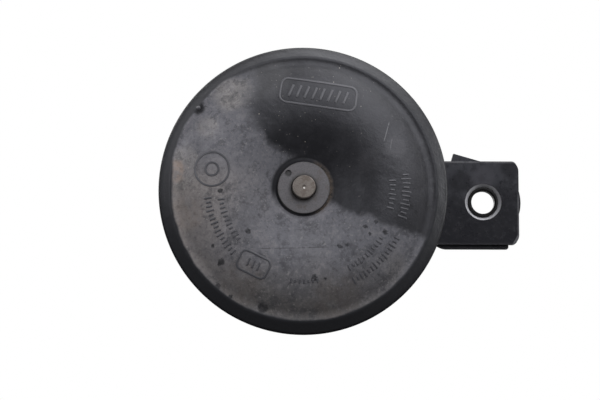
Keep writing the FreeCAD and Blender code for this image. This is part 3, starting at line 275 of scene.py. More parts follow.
def draw_section(mesh, points, closed):
    """Draws a section as edges. A point is (radius, height), and may add the bend of its corner, or
    "arc" and the radius of the arc that leads to it."""
    spots = [Vector(point[:2]) for point in points]
    first = tip = None
    for i, point in enumerate(points):
        spot = spots[i]
        if len(point) == 4:
            tip = draw_arc(mesh, tip, arc_centre(spots[i - 1], spot, point[3]), spot)
            continue
        start = end = spot
        if len(point) == 3:
            after = spots[(i + 1) % len(points)]
            start, end, centre = bend_corner(spots[i - 1], spot, after, point[2])
        if tip is None:
            first = tip = mesh.verts.new((start.x, 0, start.y))
        else:
            tip = draw_line(mesh, tip, start)
        if len(point) == 3:
            tip = draw_arc(mesh, tip, centre, end)
    if closed:
        mesh.edges.new((tip, first))


def turned(points, closed=True, steps=96, sheet=0.0, at=(0, 0)):
    """A piece turned round the axis from its section, or a turned sheet that gets its thickness."""
    mesh = bmesh.new()
    draw_section(mesh, points, closed)
    spin(mesh, everything(mesh), math.tau, steps, merge=True)
    bmesh.ops.remove_doubles(mesh, verts=mesh.verts[:], dist=TOUCH)
    face_outwards(mesh)
    if sheet:
        if sum(face.normal.z for face in mesh.faces) < 0:
            bmesh.ops.reverse_faces(mesh, faces=mesh.faces[:])
        bmesh.ops.solidify(mesh, geom=mesh.faces[:], thickness=sheet)
        face_outwards(mesh)
    shift(mesh, *at)
    return mesh


def turned_sector(points, begin, angle, steps, cuts=()):
    """A closed piece turned part of the way round, from an angle on, and cut at the given radii."""
    mesh = bmesh.new()
    draw_section(mesh, points, True)
    fill_flat(mesh, mesh.edges[:], normal=(0, 1, 0))
    for reach in cuts:
        cut_along(mesh, (reach, 0, 0), (1, 0, 0))
    start = Matrix.Rotation(begin, 3, "Z")
    bmesh.ops.rotate(mesh, cent=(0, 0, 0), matrix=start, verts=mesh.verts[:])
    spin(mesh, everything(mesh), angle, steps)
    face_outwards(mesh)
    return mesh


def plate(corners, back, thickness, holes=()):
    """A flat plate from its corners, each with the rounding that it may have, and round holes."""
    mesh = bmesh.new()
    verts = [mesh.verts.new((corner[0], corner[1], back)) for corner in corners]
    mesh.faces.new(verts)
    for vert, corner in zip(verts, corners):
        if len(corner) == 3:
            bevel(mesh, [vert], corner[2], max(4, int(corner[2] * 3)), "VERTICES")
    bmesh.ops.remove_doubles(mesh, verts=mesh.verts[:], dist=0.05)
    if holes:
        bmesh.ops.delete(mesh, geom=mesh.faces[:], context="FACES_ONLY")
        for across, up, radius in holes:
            draw_circle(mesh, across, up, back, radius, 64)
        fill_flat(mesh, mesh.edges[:])
    thicken(mesh, thickness)
    return mesh


def rivet_heads(spots, radius, front, back, rise):
    """Rivets of one size, each with a low domed head at both ends."""
    whole = bmesh.new()
    edge = rise / 4
    crown = (radius * radius + (rise - edge) ** 2) / (2 * (rise - edge))
    section = [
        (0, back - rise),
        (radius, back - edge, "arc", crown),
        (radius, back),
        (radius, front),
        (radius, front + edge),
        (0, front + rise, "arc", crown),
    ]
    for spot in spots:
        add_mesh(whole, turned(section, closed=False, steps=32, at=spot))
    return whole


def nut(flats, bore, back, front, at=(0, 0), chamfer_front=True):
    """A hexagon nut with bevelled mouths and chamfered corners."""
    half, mouth, slant = flats / 2, 0.45, math.tan(math.radians(28))
    shoulder = half * 0.95
    side = math.radians(60)
    section = [
        (bore, back + mouth),
        (bore + mouth, back),
        (shoulder, back),
        (half, back),
        (half, front),
        (shoulder, front),
        (bore + mouth, front),
        (bore, front - mouth),
    ]
    mesh = turned(section, steps=72, at=at)
    for vert in mesh.verts:
        x, y = vert.co.x - at[0], vert.co.y - at[1]
        reach = math.hypot(x, y)
        if reach < half - LEVEL:
            continue
        corner = half / math.cos(math.atan2(y, x) % side - side / 2)
        drop = max(corner - shoulder, 0) * slant
        vert.co.x = at[0] + x / reach * corner
        vert.co.y = at[1] + y / reach * corner
        if abs(vert.co.z - back) < LEVEL:
            vert.co.z += drop
        if chamfer_front and abs(vert.co.z - front) < LEVEL:
            vert.co.z -= drop
    return mesh


def thread(radius, pitch, depth, start, length, at=(0, 0)):
    """The ridge of a screw thread, wound round its core, with its root a little inside the core."""
    mesh = bmesh.new()
    root, crest = radius - depth - 0.1, radius - 0.02
    profile = ((root, 0), (crest, 0.42), (crest, 0.58), (root, 1))
    corners = [mesh.verts.new((reach, 0, start + pitch * share)) for reach, share in profile]
    for first, second in zip(corners, corners[1:] + corners[:1]):
        mesh.edges.new((first, second))
    turns = length / pitch - 1
    steps = int(turns * THREAD_STEPS)
    spin(mesh, everything(mesh), math.tau * turns, steps, rise=turns * pitch / steps)
    bmesh.ops.holes_fill(mesh, edges=mesh.edges[:], sides=4)
    face_outwards(mesh)
    shift(mesh, *at)
    return mesh


def hand_over(mesh, name, body, slot, finish, *stands_for):
    """Makes a piece of a drawn mesh, in the part's frame, riding on its body if it has one."""
    mesh.normal_update()
    for face in mesh.faces:
        face.smooth = True
    for edge in mesh.edges:
        edge.smooth = not (edge.is_manifold and edge.calc_face_angle() > SHARP_ANGLE)
    bmesh.ops.transform(mesh, matrix=HORN, verts=mesh.verts[:])
    data = bpy.data.meshes.new(name)
    mesh.to_mesh(data)
    mesh.free()
    piece = bpy.data.objects.new(name, data)
    bpy.context.scene.collection.objects.link(piece)
    data.materials.append(finish)
    piece.modifiers.new("even_shading", "WEIGHTED_NORMAL").keep_sharp = True
    if body:
        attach(piece, body)
    if stands_for:
        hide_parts(*stands_for)
    return piece


def paint_node(node, finish):
    """Gives a CAD node its finish."""
    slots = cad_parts[node].data.materials
    slots.clear()
    slots.append(finish)


# Mixing finishes

class Wiring:
    """Nodes of a tree, put in and wired up."""

    def __init__(self, tree):
        self.tree = tree

    def add(self, kind, **inputs):
        node = self.tree.nodes.new(kind)
        for name, value in inputs.items():
            self.feed(node.inputs[name], value)
        return node

    def feed(self, socket, value):
        if isinstance(value, bpy.types.NodeSocket):
            self.tree.links.new(value, socket)
        elif socket.type == "RGBA" and len(value) == 3:
            socket.default_value = (*value, 1)
        else:
            socket.default_value = value

    def math(self, operation, first, second=0.0, third=0.0, clamp=False):
        node = self.tree.nodes.new("ShaderNodeMath")
        node.operation = operation
        node.use_clamp = clamp
        for socket, value in zip(node.inputs, (first, second, third)):
            self.feed(socket, value)
        return node.outputs[0]

    def scale(self, value, factor, offset=0.0):
        """A value times a factor, and an offset."""
        return self.math("MULTIPLY_ADD", value, factor, offset)

    def times(self, first, *others):
        for value in others:
            first = self.math("MULTIPLY", first, value)
        return first

    def most(self, first, *others):
        for value in others:
            first = self.math("MAXIMUM", first, value)
        return first

    def rest(self, share):
        return self.math("SUBTRACT", 1.0, share)

    def fade(self, value, low, high, dim=0.0, full=1.0, smooth=True):
        """From dim to full as the value goes from low to high."""
        node = self.tree.nodes.new("ShaderNodeMapRange")
        node.interpolation_type = "SMOOTHSTEP" if smooth else "LINEAR"
        for socket, number in zip(node.inputs, (value, low, high, dim, full)):
            self.feed(socket, number)
        return node.outputs["Result"]

    def blend(self, share, first, second):
        """One colour into another."""
        node = self.tree.nodes.new("ShaderNodeMix")
        node.data_type = "RGBA"
        self.feed(node.inputs["Factor"], share)
        self.feed(node.inputs[6], first)
        self.feed(node.inputs[7], second)
        return node.outputs[2]

    def tinge(self, colour, *layers):
        """Lays colours over a colour. A layer is its colour, the value that it follows, where that
        starts and is full, and how much of the colour shows then."""
        for tint, value, low, high, share in layers:
            colour = self.blend(self.fade(value, low, high, 0.0, share), colour, tint)
        return colour


class Mixer(Wiring):
    """A finish being mixed. Its spot is the place on the horn in millimetres: x out along the bracket,
    y back from the diaphragm, z up."""

    def __init__(self, name):
        self.material = bpy.data.materials.new(name)
        self.material.use_nodes = True
        super().__init__(self.material.node_tree)
        self.shader = self.tree.nodes["Principled BSDF"]
        self.spot = self.add(
            "ShaderNodeMapping",
            Vector=self.add("ShaderNodeTexCoord").outputs["Object"],
            Location=(-AXIS_X * MILLIMETRES, -DIAPHRAGM_Y * MILLIMETRES, 0),
            Scale=(MILLIMETRES, MILLIMETRES, MILLIMETRES),
        ).outputs["Vector"]
        self.x, self.y, self.z = self.add("ShaderNodeSeparateXYZ", Vector=self.spot).outputs

    def noise(self, size, detail=3.0, roughness=0.55, distortion=0.0, shift=0.0):
        """Noise with lumps of a size in millimetres."""
        spot = self.spot
        if shift:
            moved = self.add("ShaderNodeMapping", Vector=spot, Location=(shift, shift, shift))
            spot = moved.outputs["Vector"]
        node = self.add(
            "ShaderNodeTexNoise",
            Vector=spot,
            Scale=1 / size,
            Detail=detail,
            Roughness=roughness,
            Distortion=distortion,
        )
        return node.outputs["Fac"]

    def slope(self, across, up, offset=0.0):
        """Grows by across for each millimetre out along the bracket and by up for each one up."""
        return self.scale(self.x, across, self.scale(self.z, up, offset))

    def away(self, across=0.0, up=0.0):
        """Distance from a line that runs back through the horn."""
        flat = self.add("ShaderNodeCombineXYZ", X=self.x, Z=self.z)
        node = self.tree.nodes.new("ShaderNodeVectorMath")
        node.operation = "DISTANCE"
        self.feed(node.inputs[0], flat.outputs[0])
        self.feed(node.inputs[1], (across, 0, up))
        return node.outputs["Value"]

    def patch(self, across, up, radius, warp=0.0):
        """A round patch, seen from the front, warped along its edge."""
        edge = self.scale(warp, 0.5, self.away(across, up)) if warp else self.away(across, up)
        return self.fade(edge, radius * 0.6, radius * 1.25, 1.0, 0.0)

    def streak(self, start, end, width):
        """A thin straight line, seen from the front."""
        run = Vector(end) - Vector(start)
        middle = (Vector(start) + Vector(end)) / 2
        across, up = run.normalized()
        along = self.math("ABSOLUTE", self.slope(across, up, -middle.x * across - middle.y * up))
        off = self.math("ABSOLUTE", self.slope(-up, across, middle.x * up - middle.y * across))
        within = self.fade(along, run.length * 0.35, run.length * 0.5, 1.0, 0.0)
        return self.times(within, self.fade(off, width * 0.5, width, 1.0, 0.0))

    def specks(self, size, radius, share):
        """Tiny round specks, one in a share of the cells of a size in millimetres."""
        cells = self.add("ShaderNodeTexVoronoi", Vector=self.spot, Scale=1 / size, Randomness=1.0).outputs
        lot = self.add("ShaderNodeSeparateColor", Color=cells["Color"]).outputs[0]
        near = self.fade(cells["Distance"], radius * 0.5 / size, radius / size, 1.0, 0.0)
        return self.times(self.math("LESS_THAN", lot, share), near)

    def bump(self, height, depth, below=None):
        """A bump of a depth in millimetres."""
        node = self.add("ShaderNodeBump", Height=height, Distance=depth / MILLIMETRES, Strength=1.0)
        if below:
            self.feed(node.inputs["Normal"], below)
        return node.outputs["Normal"]

    def finish(self, colour, roughness, normal, metallic=0.0, **others):
        """Gives the shader its inputs. Others are named with _ for a space."""
        for name, value in (
            ("Base Color", colour),
            ("Roughness", roughness),
            ("Normal", normal),
            ("Metallic", metallic),
            *others.items(),
        ):
            self.feed(self.shader.inputs[name.replace("_", " ")], value)
        return self.material


# Bare, black places in the dust of the disc: across, up, radius in millimetres
DARK_SPOTS = (
    (-36.6, 28.2, 2.7),
    (-14.1, -41.2, 1.9),
    (-25.0, -37.4, 0.9),
    (-29.4, -33.6, 1.1),
    (-28.2, -25.8, 1.3),
    (-19.1, -15.4, 0.9),
    (12.2, -20.6, 0.9),
    (14.6, -19.8, 0.6),
    (27.6, -15.6, 1.0),
    (20.7, -13.5, 0.8),
    (22.4, -16.0, 0.6),
    (24.6, -12.2, 0.6),
    (36.4, -6.3, 0.9),
    (38.4, -8.2, 0.7),
    (33.4, -9.6, 0.6),
    (3.6, -31.2, 1.1),
    (7.0, -31.4, 0.7),
    (-28.4, -1.6, 0.8),
    (-31.0, -20.2, 0.6),
)
# A drop of black paint in the first of them: across, up, radius
PAINT_DROP = (-36.2, 27.9, 0.7)
# Pale smudges on the clean paint: across, up, radius, strength
SMUDGES = (
    (31.5, 14.0, 4.0, 0.05),
    (36.0, 6.0, 4.0, 0.02),
    (22.0, 9.0, 4.0, 0.02),
)
# Pale, thick dust: across, up, radius, strength
THICK_DUST = (
    (-24.5, 32.5, 6.5, 0.75),
    (-33.5, 20.5, 4.0, 0.5),
    (-40.5, 10.0, 4.5, 0.55),
    (-42.5, 4.0, 4.0, 0.55),
    (-38.0, 4.0, 3.0, 0.25),
    *SMUDGES,
    (2.0, -19.0, 8.0, 0.05),
    (31.0, -26.0, 4.0, 0.2),
    (-11.0, -42.0, 1.7, 0.9),
)
# Tan dirt at the left end and brown blots below: across, up, radius, strength, colour
BROWN = (0.12, 0.1, 0.088)
DIRT = (
    (-43.5, 5.5, 3.6, 0.55, (0.36, 0.27, 0.22)),
    (-40.0, -9.0, 6.0, 0.25, (0.22, 0.17, 0.14)),
    (-22.0, -33.0, 8.0, 0.3, BROWN),
    (12.0, -38.0, 9.0, 0.3, BROWN),
)
# Scratches: start, end, width, strength, colour
PALE_SCRATCH, DARK_SCRATCH = (0.3, 0.3, 0.31), (0.03, 0.03, 0.032)
SCRATCHES = (
    ((29.4, 23.0), (27.2, 15.2), 0.22, 0.35, PALE_SCRATCH),
    ((30.2, 17.0), (29.2, 11.5), 0.18, 0.25, PALE_SCRATCH),
    ((-17.0, -21.4), (10.0, -20.6), 0.25, 0.5, DARK_SCRATCH),
    ((-27.0, 3.0), (-25.0, -12.0), 0.16, 0.3, DARK_SCRATCH),
    ((19.0, -26.5), (29.0, -36.0), 0.2, 0.35, DARK_SCRATCH),
)
COOL_SHEEN = (0.9, 0.91, 1.0, 1.0)  # tint of what black paint reflects
HAZE = (0.3, 0.3, 0.32)
BLACK = (0.01, 0.01, 0.011)


class DiscPaint(Mixer):
    """Black satin paint of the tone disc: clean in the upper right, dusty and faded elsewhere."""

    def __init__(self, look):
        super().__init__("disc_paint")
        self.look = look
        self.reach = self.away()
        self.lobes = self.scale(self.noise(8, 5, 0.62), 9.0, -4.5)
        self.cloud = self.noise(13, 5, 0.62, shift=31)
        self.blotch = self.noise(4.5, 6, 0.7, shift=23)
        self.fine = self.noise(2.0, 9, 0.9, distortion=0.8, shift=11)
        clean, skirt = self.clean_sector(), self.skirt_share()
        colour = self.blend(clean, self.dust(), self.clean_paint())
        colour = self.round_the_washer(self.white_specks(colour))
        colour = self.spots_and_scratches(self.dirt(colour))
        colour = self.blend(skirt, colour, self.skirt_paint())
        drop = self.patch(*PAINT_DROP)
        rough = self.scale(self.times(self.rest(clean), self.rest(skirt)), 0.32, 0.38)
        rough = self.scale(drop, -0.5, self.scale(self.fine, 0.12, rough))
        relief = self.bump(self.noise(0.8, 4, 0.6, shift=3), 0.05)
        gloss = self.times(
            self.fade(skirt, 0.0, 1.0, 0.5, 0.34),
            self.fade(self.reach, 49.0, 49.75, 1.0, 0.02),
            self.fade(self.reach, 12.0, 24.0, 0.7, 1.0),
        )
        self.finish(
            colour,
            rough,
            self.bump(self.cloud, 0.5, relief),
            Specular_Tint=COOL_SHEEN,
            Specular_IOR_Level=self.scale(drop, 0.4, gloss),
        )

    def clean_sector(self):
        """The share that dust has left bare, which ends along three lines and softens upwards."""
        below = self.slope(0.33, 0.944, 2.2)
        beside = self.slope(1.0, 0.06, 16.6)
        above = self.most(self.math("ADD", self.x, 1.0), self.slope(0.545, 0.838, -6.7))
        edge = self.math("SMOOTH_MIN", below, self.math("SMOOTH_MIN", beside, above, 4.0), 4.0)
        softness = self.scale(self.fade(self.z, 15.0, 29.0), 4.2, 1.7)
        return self.fade(self.math("ADD", edge, self.lobes), self.times(softness, -1.0), softness)

    def dust(self):
        """Dust, thicker and more tan towards the left, mottled at three sizes."""
        grey = self.look.dust_grey
        left = self.fade(self.scale(self.cloud, 26.0, self.x), -30.0, 4.0, 1.0, 0.0)
        low_left = self.times(self.fade(self.z, -2.0, 14.0, 1.0, 0.12), left)
        dust = self.blend(left, grey, tuple(1.45 * part for part in grey))
        dust = self.blend(self.times(low_left, 0.75), dust, self.look.dust_tan)
        for across, up, radius, strength in THICK_DUST:
            patch = self.patch(across, up, radius, self.lobes)
            patch = self.times(patch, self.fade(self.blotch, 0.36, 0.6, 0.35 * strength, strength))
            dust = self.blend(patch, dust, (0.36, 0.34, 0.33))
        dust = self.tinge(
            dust,
            ((0.108, 0.1, 0.095), self.scale(self.cloud, 20.0, self.z), -10.0, -32.0, 0.8),
            ((0.05, 0.05, 0.058), self.cloud, 0.38, 0.68, 0.3),
            ((0.045, 0.045, 0.05), self.blotch, 0.52, 0.64, 0.52),
            ((0.26, 0.25, 0.26), self.blotch, 0.46, 0.36, 0.3),
            ((0.04, 0.04, 0.047), self.fine, 0.47, 0.62, 0.47),
            ((0.33, 0.32, 0.33), self.fine, 0.44, 0.36, 0.21),
        )
        speckle = self.noise(1.0, 3, 0.6, shift=71)
        rough_spot = self.fade(self.blotch, 0.44, 0.56, 0.2, 1.0)
        dark = self.times(self.fade(speckle, 0.57, 0.66, 0.0, 0.38), rough_spot)
        pale = self.times(self.fade(speckle, 0.41, 0.33, 0.0, 0.3), rough_spot)
        return self.blend(pale, self.blend(dark, dust, (0.035, 0.035, 0.04)), (0.36, 0.35, 0.35))

    def clean_paint(self):
        """The paint's own black under a thin haze."""
        black = self.tinge(
            self.look.paint_black,
            (self.look.dust_grey, self.noise(5, 5, 0.65, shift=5), 0.4, 0.75, 0.1),
            (HAZE, self.reach, 18.0, 28.0, 0.022),
            (HAZE, self.reach, 34.0, 42.0, 0.025),
        )
        crown = self.times(self.patch(-15.0, 39.0, 10.0, self.lobes), 0.11)
        black = self.blend(crown, black, (0.3, 0.3, 0.31))
        for across, up, radius, strength in SMUDGES:
            smudge = self.times(self.patch(across, up, radius, self.lobes), strength)
            black = self.blend(smudge, black, (0.5, 0.48, 0.52))
        return black

    def white_specks(self, colour):
        """White specks, most of them above and left of the middle."""
        upper = self.fade(self.slope(-0.7, 1.0), -6.0, 26.0, 0.22, 1.0)
        for size, radius, share, tint in (
            (1.25, 0.15, 0.5, (0.3, 0.28, 0.26)),
            (3.1, 0.24, 0.35, (0.4, 0.37, 0.33)),
        ):
            colour = self.blend(self.times(self.specks(size, radius, share), upper), colour, tint)
        return colour

    def round_the_washer(self, colour):
        """Painted shade against the washer at its left, a thin painted shadow round its edge, paler dust
        below it that is partly painted light, and brown on its right.
        """
        x, z, reach = self.x, self.z, self.reach
        # Painted shade: darkening against the washer's left side, where it stands in its seat
        painted_shade = self.times(
            self.fade(reach, 10.5, 11.9, 1.0, 0.0), self.fade(x, -2.0, 3.0, 1.0, 0.3), self.fade(z, -6.0, 0.0)
        )
        colour = self.blend(painted_shade, colour, (0.012, 0.012, 0.014))
        # Paler dust below the washer, brightened further as painted light against the shade there
        pale_dust_and_light = self.times(
            self.fade(reach, 10.8, 13.4, 0.36, 0.0),
            self.fade(z, -8.0, -3.0, 1.0, 0.0),
            self.fade(self.blotch, 0.4, 0.58, 1.0, 0.4),
        )
        colour = self.blend(pale_dust_and_light, colour, (0.33, 0.32, 0.35))
        # A thin painted shadow all round the washer's edge
        colour = self.blend(self.fade(reach, 9.6, 9.95, 0.92, 0.0), colour, (0.006, 0.006, 0.008))
        brown = self.times(
            self.fade(reach, 9.4, 10.9, 0.55, 0.0), self.fade(x, 2.0, 7.0), self.fade(self.fine, 0.38, 0.56)
        )
        return self.blend(brown, colour, (0.16, 0.12, 0.085))

    def dirt(self, colour):
        """Tan dirt at the left end of the disc and a few brown blots below."""
        for across, up, radius, strength, tint in DIRT:
            blot = self.patch(across, up, radius, self.lobes)
            blot = self.times(blot, self.fade(self.blotch, 0.4, 0.56, 0.2, 1.0), strength)
            colour = self.blend(blot, colour, tint)
        return colour

    def spots_and_scratches(self, colour):
        """Bare spots, the deepest at the upper left, and scratches."""
        grit = self.scale(self.noise(1.5, 3, 0.6, shift=51), 5.0, -2.5)
        bare = self.most(*(self.patch(*spot, grit) for spot in DARK_SPOTS[1:]))
        bare = self.times(bare, self.fade(self.fine, 0.62, 0.44, 0.45, 0.95))
        bare = self.most(bare, self.patch(*DARK_SPOTS[0], grit))
        colour = self.blend(bare, colour, BLACK)
        for start, end, width, strength, tint in SCRATCHES:
            line = self.times(self.streak(start, end, width), strength, self.fade(self.blotch, 0.38, 0.5))
            colour = self.blend(line, colour, tint)
        return colour

    def skirt_share(self):
        """The outer edge of the disc, beyond an uneven line of dust that swings out at the upper left."""
        swing = self.fade(self.slope(-0.8, 0.6), 39.0, 45.0, 0.0, -1.0)
        line = self.scale(self.lobes, 0.22, self.math("ADD", self.reach, swing))
        return self.fade(line, 44.7, 45.7)

    def skirt_paint(self):
        """The skirt stays black, with painted light greying it above and at the right."""
        # Painted light: paler grey above and at the right, less towards the outermost edge
        painted_skirt_light = self.most(
            self.fade(self.slope(-0.6, 1.0), 8.0, 46.0, 0.0, 0.3),
            self.fade(self.slope(0.94, 0.34), 37.0, 47.0, 0.0, 0.13),
            self.fade(self.slope(0.9, -0.43), 34.0, 48.0, 0.0, 0.09),
        )
        painted_skirt_light = self.times(painted_skirt_light, self.fade(self.reach, 47.6, 49.2, 1.0, 0.1))
        return self.blend(painted_skirt_light, (0.015, 0.0155, 0.018), (0.11, 0.11, 0.12))


def mix_housing_paint(colour):
    """Black paint on pressed steel, with a little dust and an uneven skin."""
    paint = Mixer("housing_paint")
    cloud = paint.noise(8, 5, 0.65)
    tint = paint.tinge(colour, ((0.12, 0.115, 0.11), cloud, 0.42, 0.75, 0.25))
    skin = paint.bump(paint.noise(0.9, 4, 0.6, shift=9), 0.03)
    return paint.finish(tint, paint.scale(cloud, 0.22, 0.42), skin)


def mix_bracket_paint(colour, low, high):
    """Black paint of the bracket, greyer near its upper edge, with a bare cone at the bolt hole.

    The front plate, which reaches from low to high, has painted highlights along its top, its right and a
    corner, and faintly along its bottom."""
    paint = Mixer("bracket_paint")
    top, right, bottom = high.y, high.x, low.y
    cloud = paint.noise(7, 6, 0.65)
    fine = paint.noise(1.6, 8, 0.85, shift=9)
    tint = paint.tinge(
        colour,
        ((0.044, 0.045, 0.053), paint.scale(cloud, 60.0, paint.z), 26.0, 44.0, 0.85),
        ((0.014, 0.014, 0.017), paint.noise(5, 6, 0.7, shift=37), 0.5, 0.6, 0.7),
        ((0.07, 0.07, 0.078), fine, 0.52, 0.66, 0.4),
        ((0.006, 0.006, 0.007), fine, 0.46, 0.36, 0.5),
    )
    cone = paint.fade(paint.scale(fine, 0.5, paint.away(BOLT_HOLE)), 6.7, 6.95, 1.0, 0.0)
    tint = paint.blend(cone, tint, (0.6, 0.6, 0.64))

    # A dark corner, a stain left of the hole and a bloom above it
    warp = paint.scale(cloud, 10.0, -5.0)
    for across, up, radius, edge, share, stain in (
        (right - 3.0, top - 2.5, 4.0, paint.scale(cloud, 8.0, -4.0), 0.75, (0.007, 0.007, 0.009)),
        (BOLT_HOLE - 8.5, 7.0, 4.2, warp, 0.65, (0.008, 0.008, 0.01)),
        (BOLT_HOLE, 8.5, 4.5, warp, 0.4, (0.075, 0.073, 0.086)),
    ):
        tint = paint.blend(paint.times(paint.patch(across, up, radius, edge), share), tint, stain)

    # Painted highlights along the edges of the front plate
    cut_edge = 0.867 * right - 0.5 * bottom - 1.3
    painted_edge_highlight = paint.most(
        paint.times(paint.fade(paint.x, right - 0.65, right - 0.4), paint.fade(paint.z, 1.0, 5.0, 0.8, 0.0)),
        paint.fade(paint.slope(0.867, -0.5), cut_edge - 1.1, cut_edge - 0.8),
        paint.fade(paint.z, bottom + 0.45, bottom + 0.75, 0.12, 0.0),
        paint.fade(paint.z, top - 0.75, top - 0.5),
    )
    in_front = paint.math("LESS_THAN", paint.y, -low.z + 0.1)
    painted_edge_highlight = paint.times(painted_edge_highlight, in_front, paint.fade(cloud, 0.4, 0.5, 0.4, 0.9))
    tint = paint.blend(painted_edge_highlight, tint, (0.13, 0.13, 0.14))
    rough = paint.scale(cone, 0.2, paint.scale(cloud, 0.25, 0.17))
    return paint.finish(
        tint,
        rough,
        paint.bump(fine, 0.03),
        paint.times(cone, 0.35),
        Specular_IOR_Level=0.22,
        Specular_Tint=COOL_SHEEN,
    )


def mix_steel(
    name,
    colour,
    roughness,
    rust=0.0,
    grain=0.4,
    metallic=1.0,
    rust_colour=(0.12, 0.055, 0.025),
    glint=None,
    specular=0.5,
):
    """Bare or plated steel with fine grain, dull patches, a share of rust and a painted glint, a highlight
    painted as a pale spot.
    """
    steel = Mixer(name)
    cloud = steel.noise(3.2, 5, 0.65)
    fine = steel.noise(grain, 4, 0.65, shift=17)
    tint = steel.tinge(colour, (tuple(part * 0.55 for part in colour), fine, 0.3, 0.72, 0.5))
    rough = steel.scale(cloud, 0.25, roughness - 0.1)
    if rust:
        spread = steel.fade(steel.scale(fine, 0.35, cloud), 0.86 - rust * 0.4, 0.98 - rust * 0.4)
        tint = steel.blend(spread, tint, rust_colour)
        rough = steel.scale(spread, 0.3, rough)
        metallic = steel.scale(spread, -0.9 * metallic, metallic)
    if glint:
        # A painted glint: a highlight painted as a pale spot that is not metal
        painted_glint = steel.patch(*glint)
        tint = steel.blend(painted_glint, tint, (0.66, 0.65, 0.63))
        metallic = steel.times(metallic, steel.rest(painted_glint))
    return steel.finish(tint, rough, steel.bump(fine, 0.025), metallic, Specular_IOR_Level=specular)


def mix_worn_washer(radius, punch_spot, punch_radius):
    """Dull grey washer steel, with painted shade round the stud, at its rim and on its side wall, and grime
    in its punch mark.
    """
    steel = Mixer("worn_washer")
    cloud = steel.noise(3.2, 5, 0.65)
    fine = steel.noise(0.5, 5, 0.7, shift=17)
    reach = steel.away()
    tint = steel.tinge(
        (0.18, 0.175, 0.187),
        ((0.1, 0.096, 0.103), fine, 0.35, 0.68, 0.5),
        ((0.13, 0.11, 0.1), cloud, 0.5, 0.68, 0.5),
    )
    # Painted shade: a ring round the stud, the washer's rim, and its side wall nearly black
    painted_shade = steel.most(
        steel.fade(steel.scale(cloud, 1.2, reach), 4.9, 6.2, 0.75, 0.0),
        steel.fade(reach, 8.3, 9.0, 0.0, 0.35),
        steel.fade(reach, radius - 0.2, radius - 0.06, 0.0, 0.98),
    )
    tint = steel.blend(painted_shade, tint, (0.03, 0.028, 0.027))
    dot = steel.patch(*punch_spot, punch_radius)
    tint = steel.blend(steel.times(dot, 0.85), tint, (0.02, 0.02, 0.022))
    shine = steel.scale(steel.most(painted_shade, dot), -0.9, 1.0)
    return steel.finish(tint, steel.scale(cloud, 0.25, 0.42), steel.bump(fine, 0.025), shine)


def mix_plastic(name, colour, roughness, grain=0.7):
    """Moulded plastic, pressed board or fibre with a fine grain."""
    plastic = Mixer(name)
    fine = plastic.noise(grain, 4, 0.6)
    cloud = plastic.noise(6, 3, 0.5, shift=4)
    tint = plastic.tinge(colour, (tuple(part * 0.6 for part in colour), cloud, 0.3, 0.75, 0.35))
    return plastic.finish(tint, plastic.scale(fine, 0.2, roughness - 0.1), plastic.bump(fine, 0.03))


# What the user may change

class HornStageSettings(bpy.types.PropertyGroup):
    azimuth: FloatProperty(
        name="Azimuth",
        description="How far the camera stands to the right of the horn",
        default=math.radians(-1.5),
        subtype="ANGLE",
    )
    elevation: FloatProperty(
        name="Elevation",
        description="How far the camera stands above the horn",
        default=math.radians(-6.9),
        subtype="ANGLE",
    )
    distance: FloatProperty(
        name="Distance", description="From the camera to the horn's rim", default=0.7076, unit="LENGTH"
    )
    lens: FloatProperty(name="Lens", description="Focal length in millimetres", default=122.9)
    aim: FloatVectorProperty(
        name="Aim",
        description="Point in the middle of the picture",
        default=(-0.06723, -0.0343, -0.00341),
        subtype="XYZ",
    )
    floor_height: FloatProperty(
        name="Floor height", description="Height of the floor", default=-0.16, unit="LENGTH"
    )
    world_light: FloatProperty(name="World light", description="Strength of the even light", default=0.15)
    top_light: FloatProperty(
        name="Top light", description="Power of the soft box above, in watts", default=10.0
    )
    rear_light: FloatProperty(
        name="Rear light", description="Power of the soft boxes overhead and behind, in watts", default=7.0
    )
    side_light: FloatProperty(
        name="Side light", description="Power of the soft box at the right, in watts", default=7.0
    )
    front_light: FloatProperty(
        name="Front light", description="Power of the soft box at the left, in watts", default=4.0
    )


class HornDiscSettings(bpy.types.PropertyGroup):
    steps: IntProperty(name="Steps", description="Faces round the tone disc", default=224, min=48)
    marks_rise: FloatProperty(
        name="Marks rise", description="Height of the raised marks in millimetres", default=0.22
    )
    paint_black: FloatVectorProperty(
        name="Paint", description="Clean paint of the disc", default=(0.012, 0.012, 0.0145), subtype="COLOR"
    )
    dust_grey: FloatVectorProperty(
        name="Grey dust",
        description="Dusty paint of the disc",
        default=(0.138, 0.138, 0.156),
        subtype="COLOR",
    )
    dust_tan: FloatVectorProperty(
        name="Tan dust",
        description="Tan dust at the left of the disc",
        default=(0.25, 0.222, 0.205),
        subtype="COLOR",
    )


class HornPaintSettings(bpy.types.PropertyGroup):
    housing: FloatVectorProperty(
        name="Housing", description="Paint of the housing", default=(0.02, 0.02, 0.022), subtype="COLOR"
    )
    bracket: FloatVectorProperty(
        name="Bracket", description="Paint of the bracket", default=(0.008, 0.008, 0.011), subtype="COLOR"
    )
    plating: FloatVectorProperty(
        name="Plating",
        description="Zinc plating of the fasteners",
        default=(0.42, 0.4, 0.34),
        subtype="COLOR",
    )


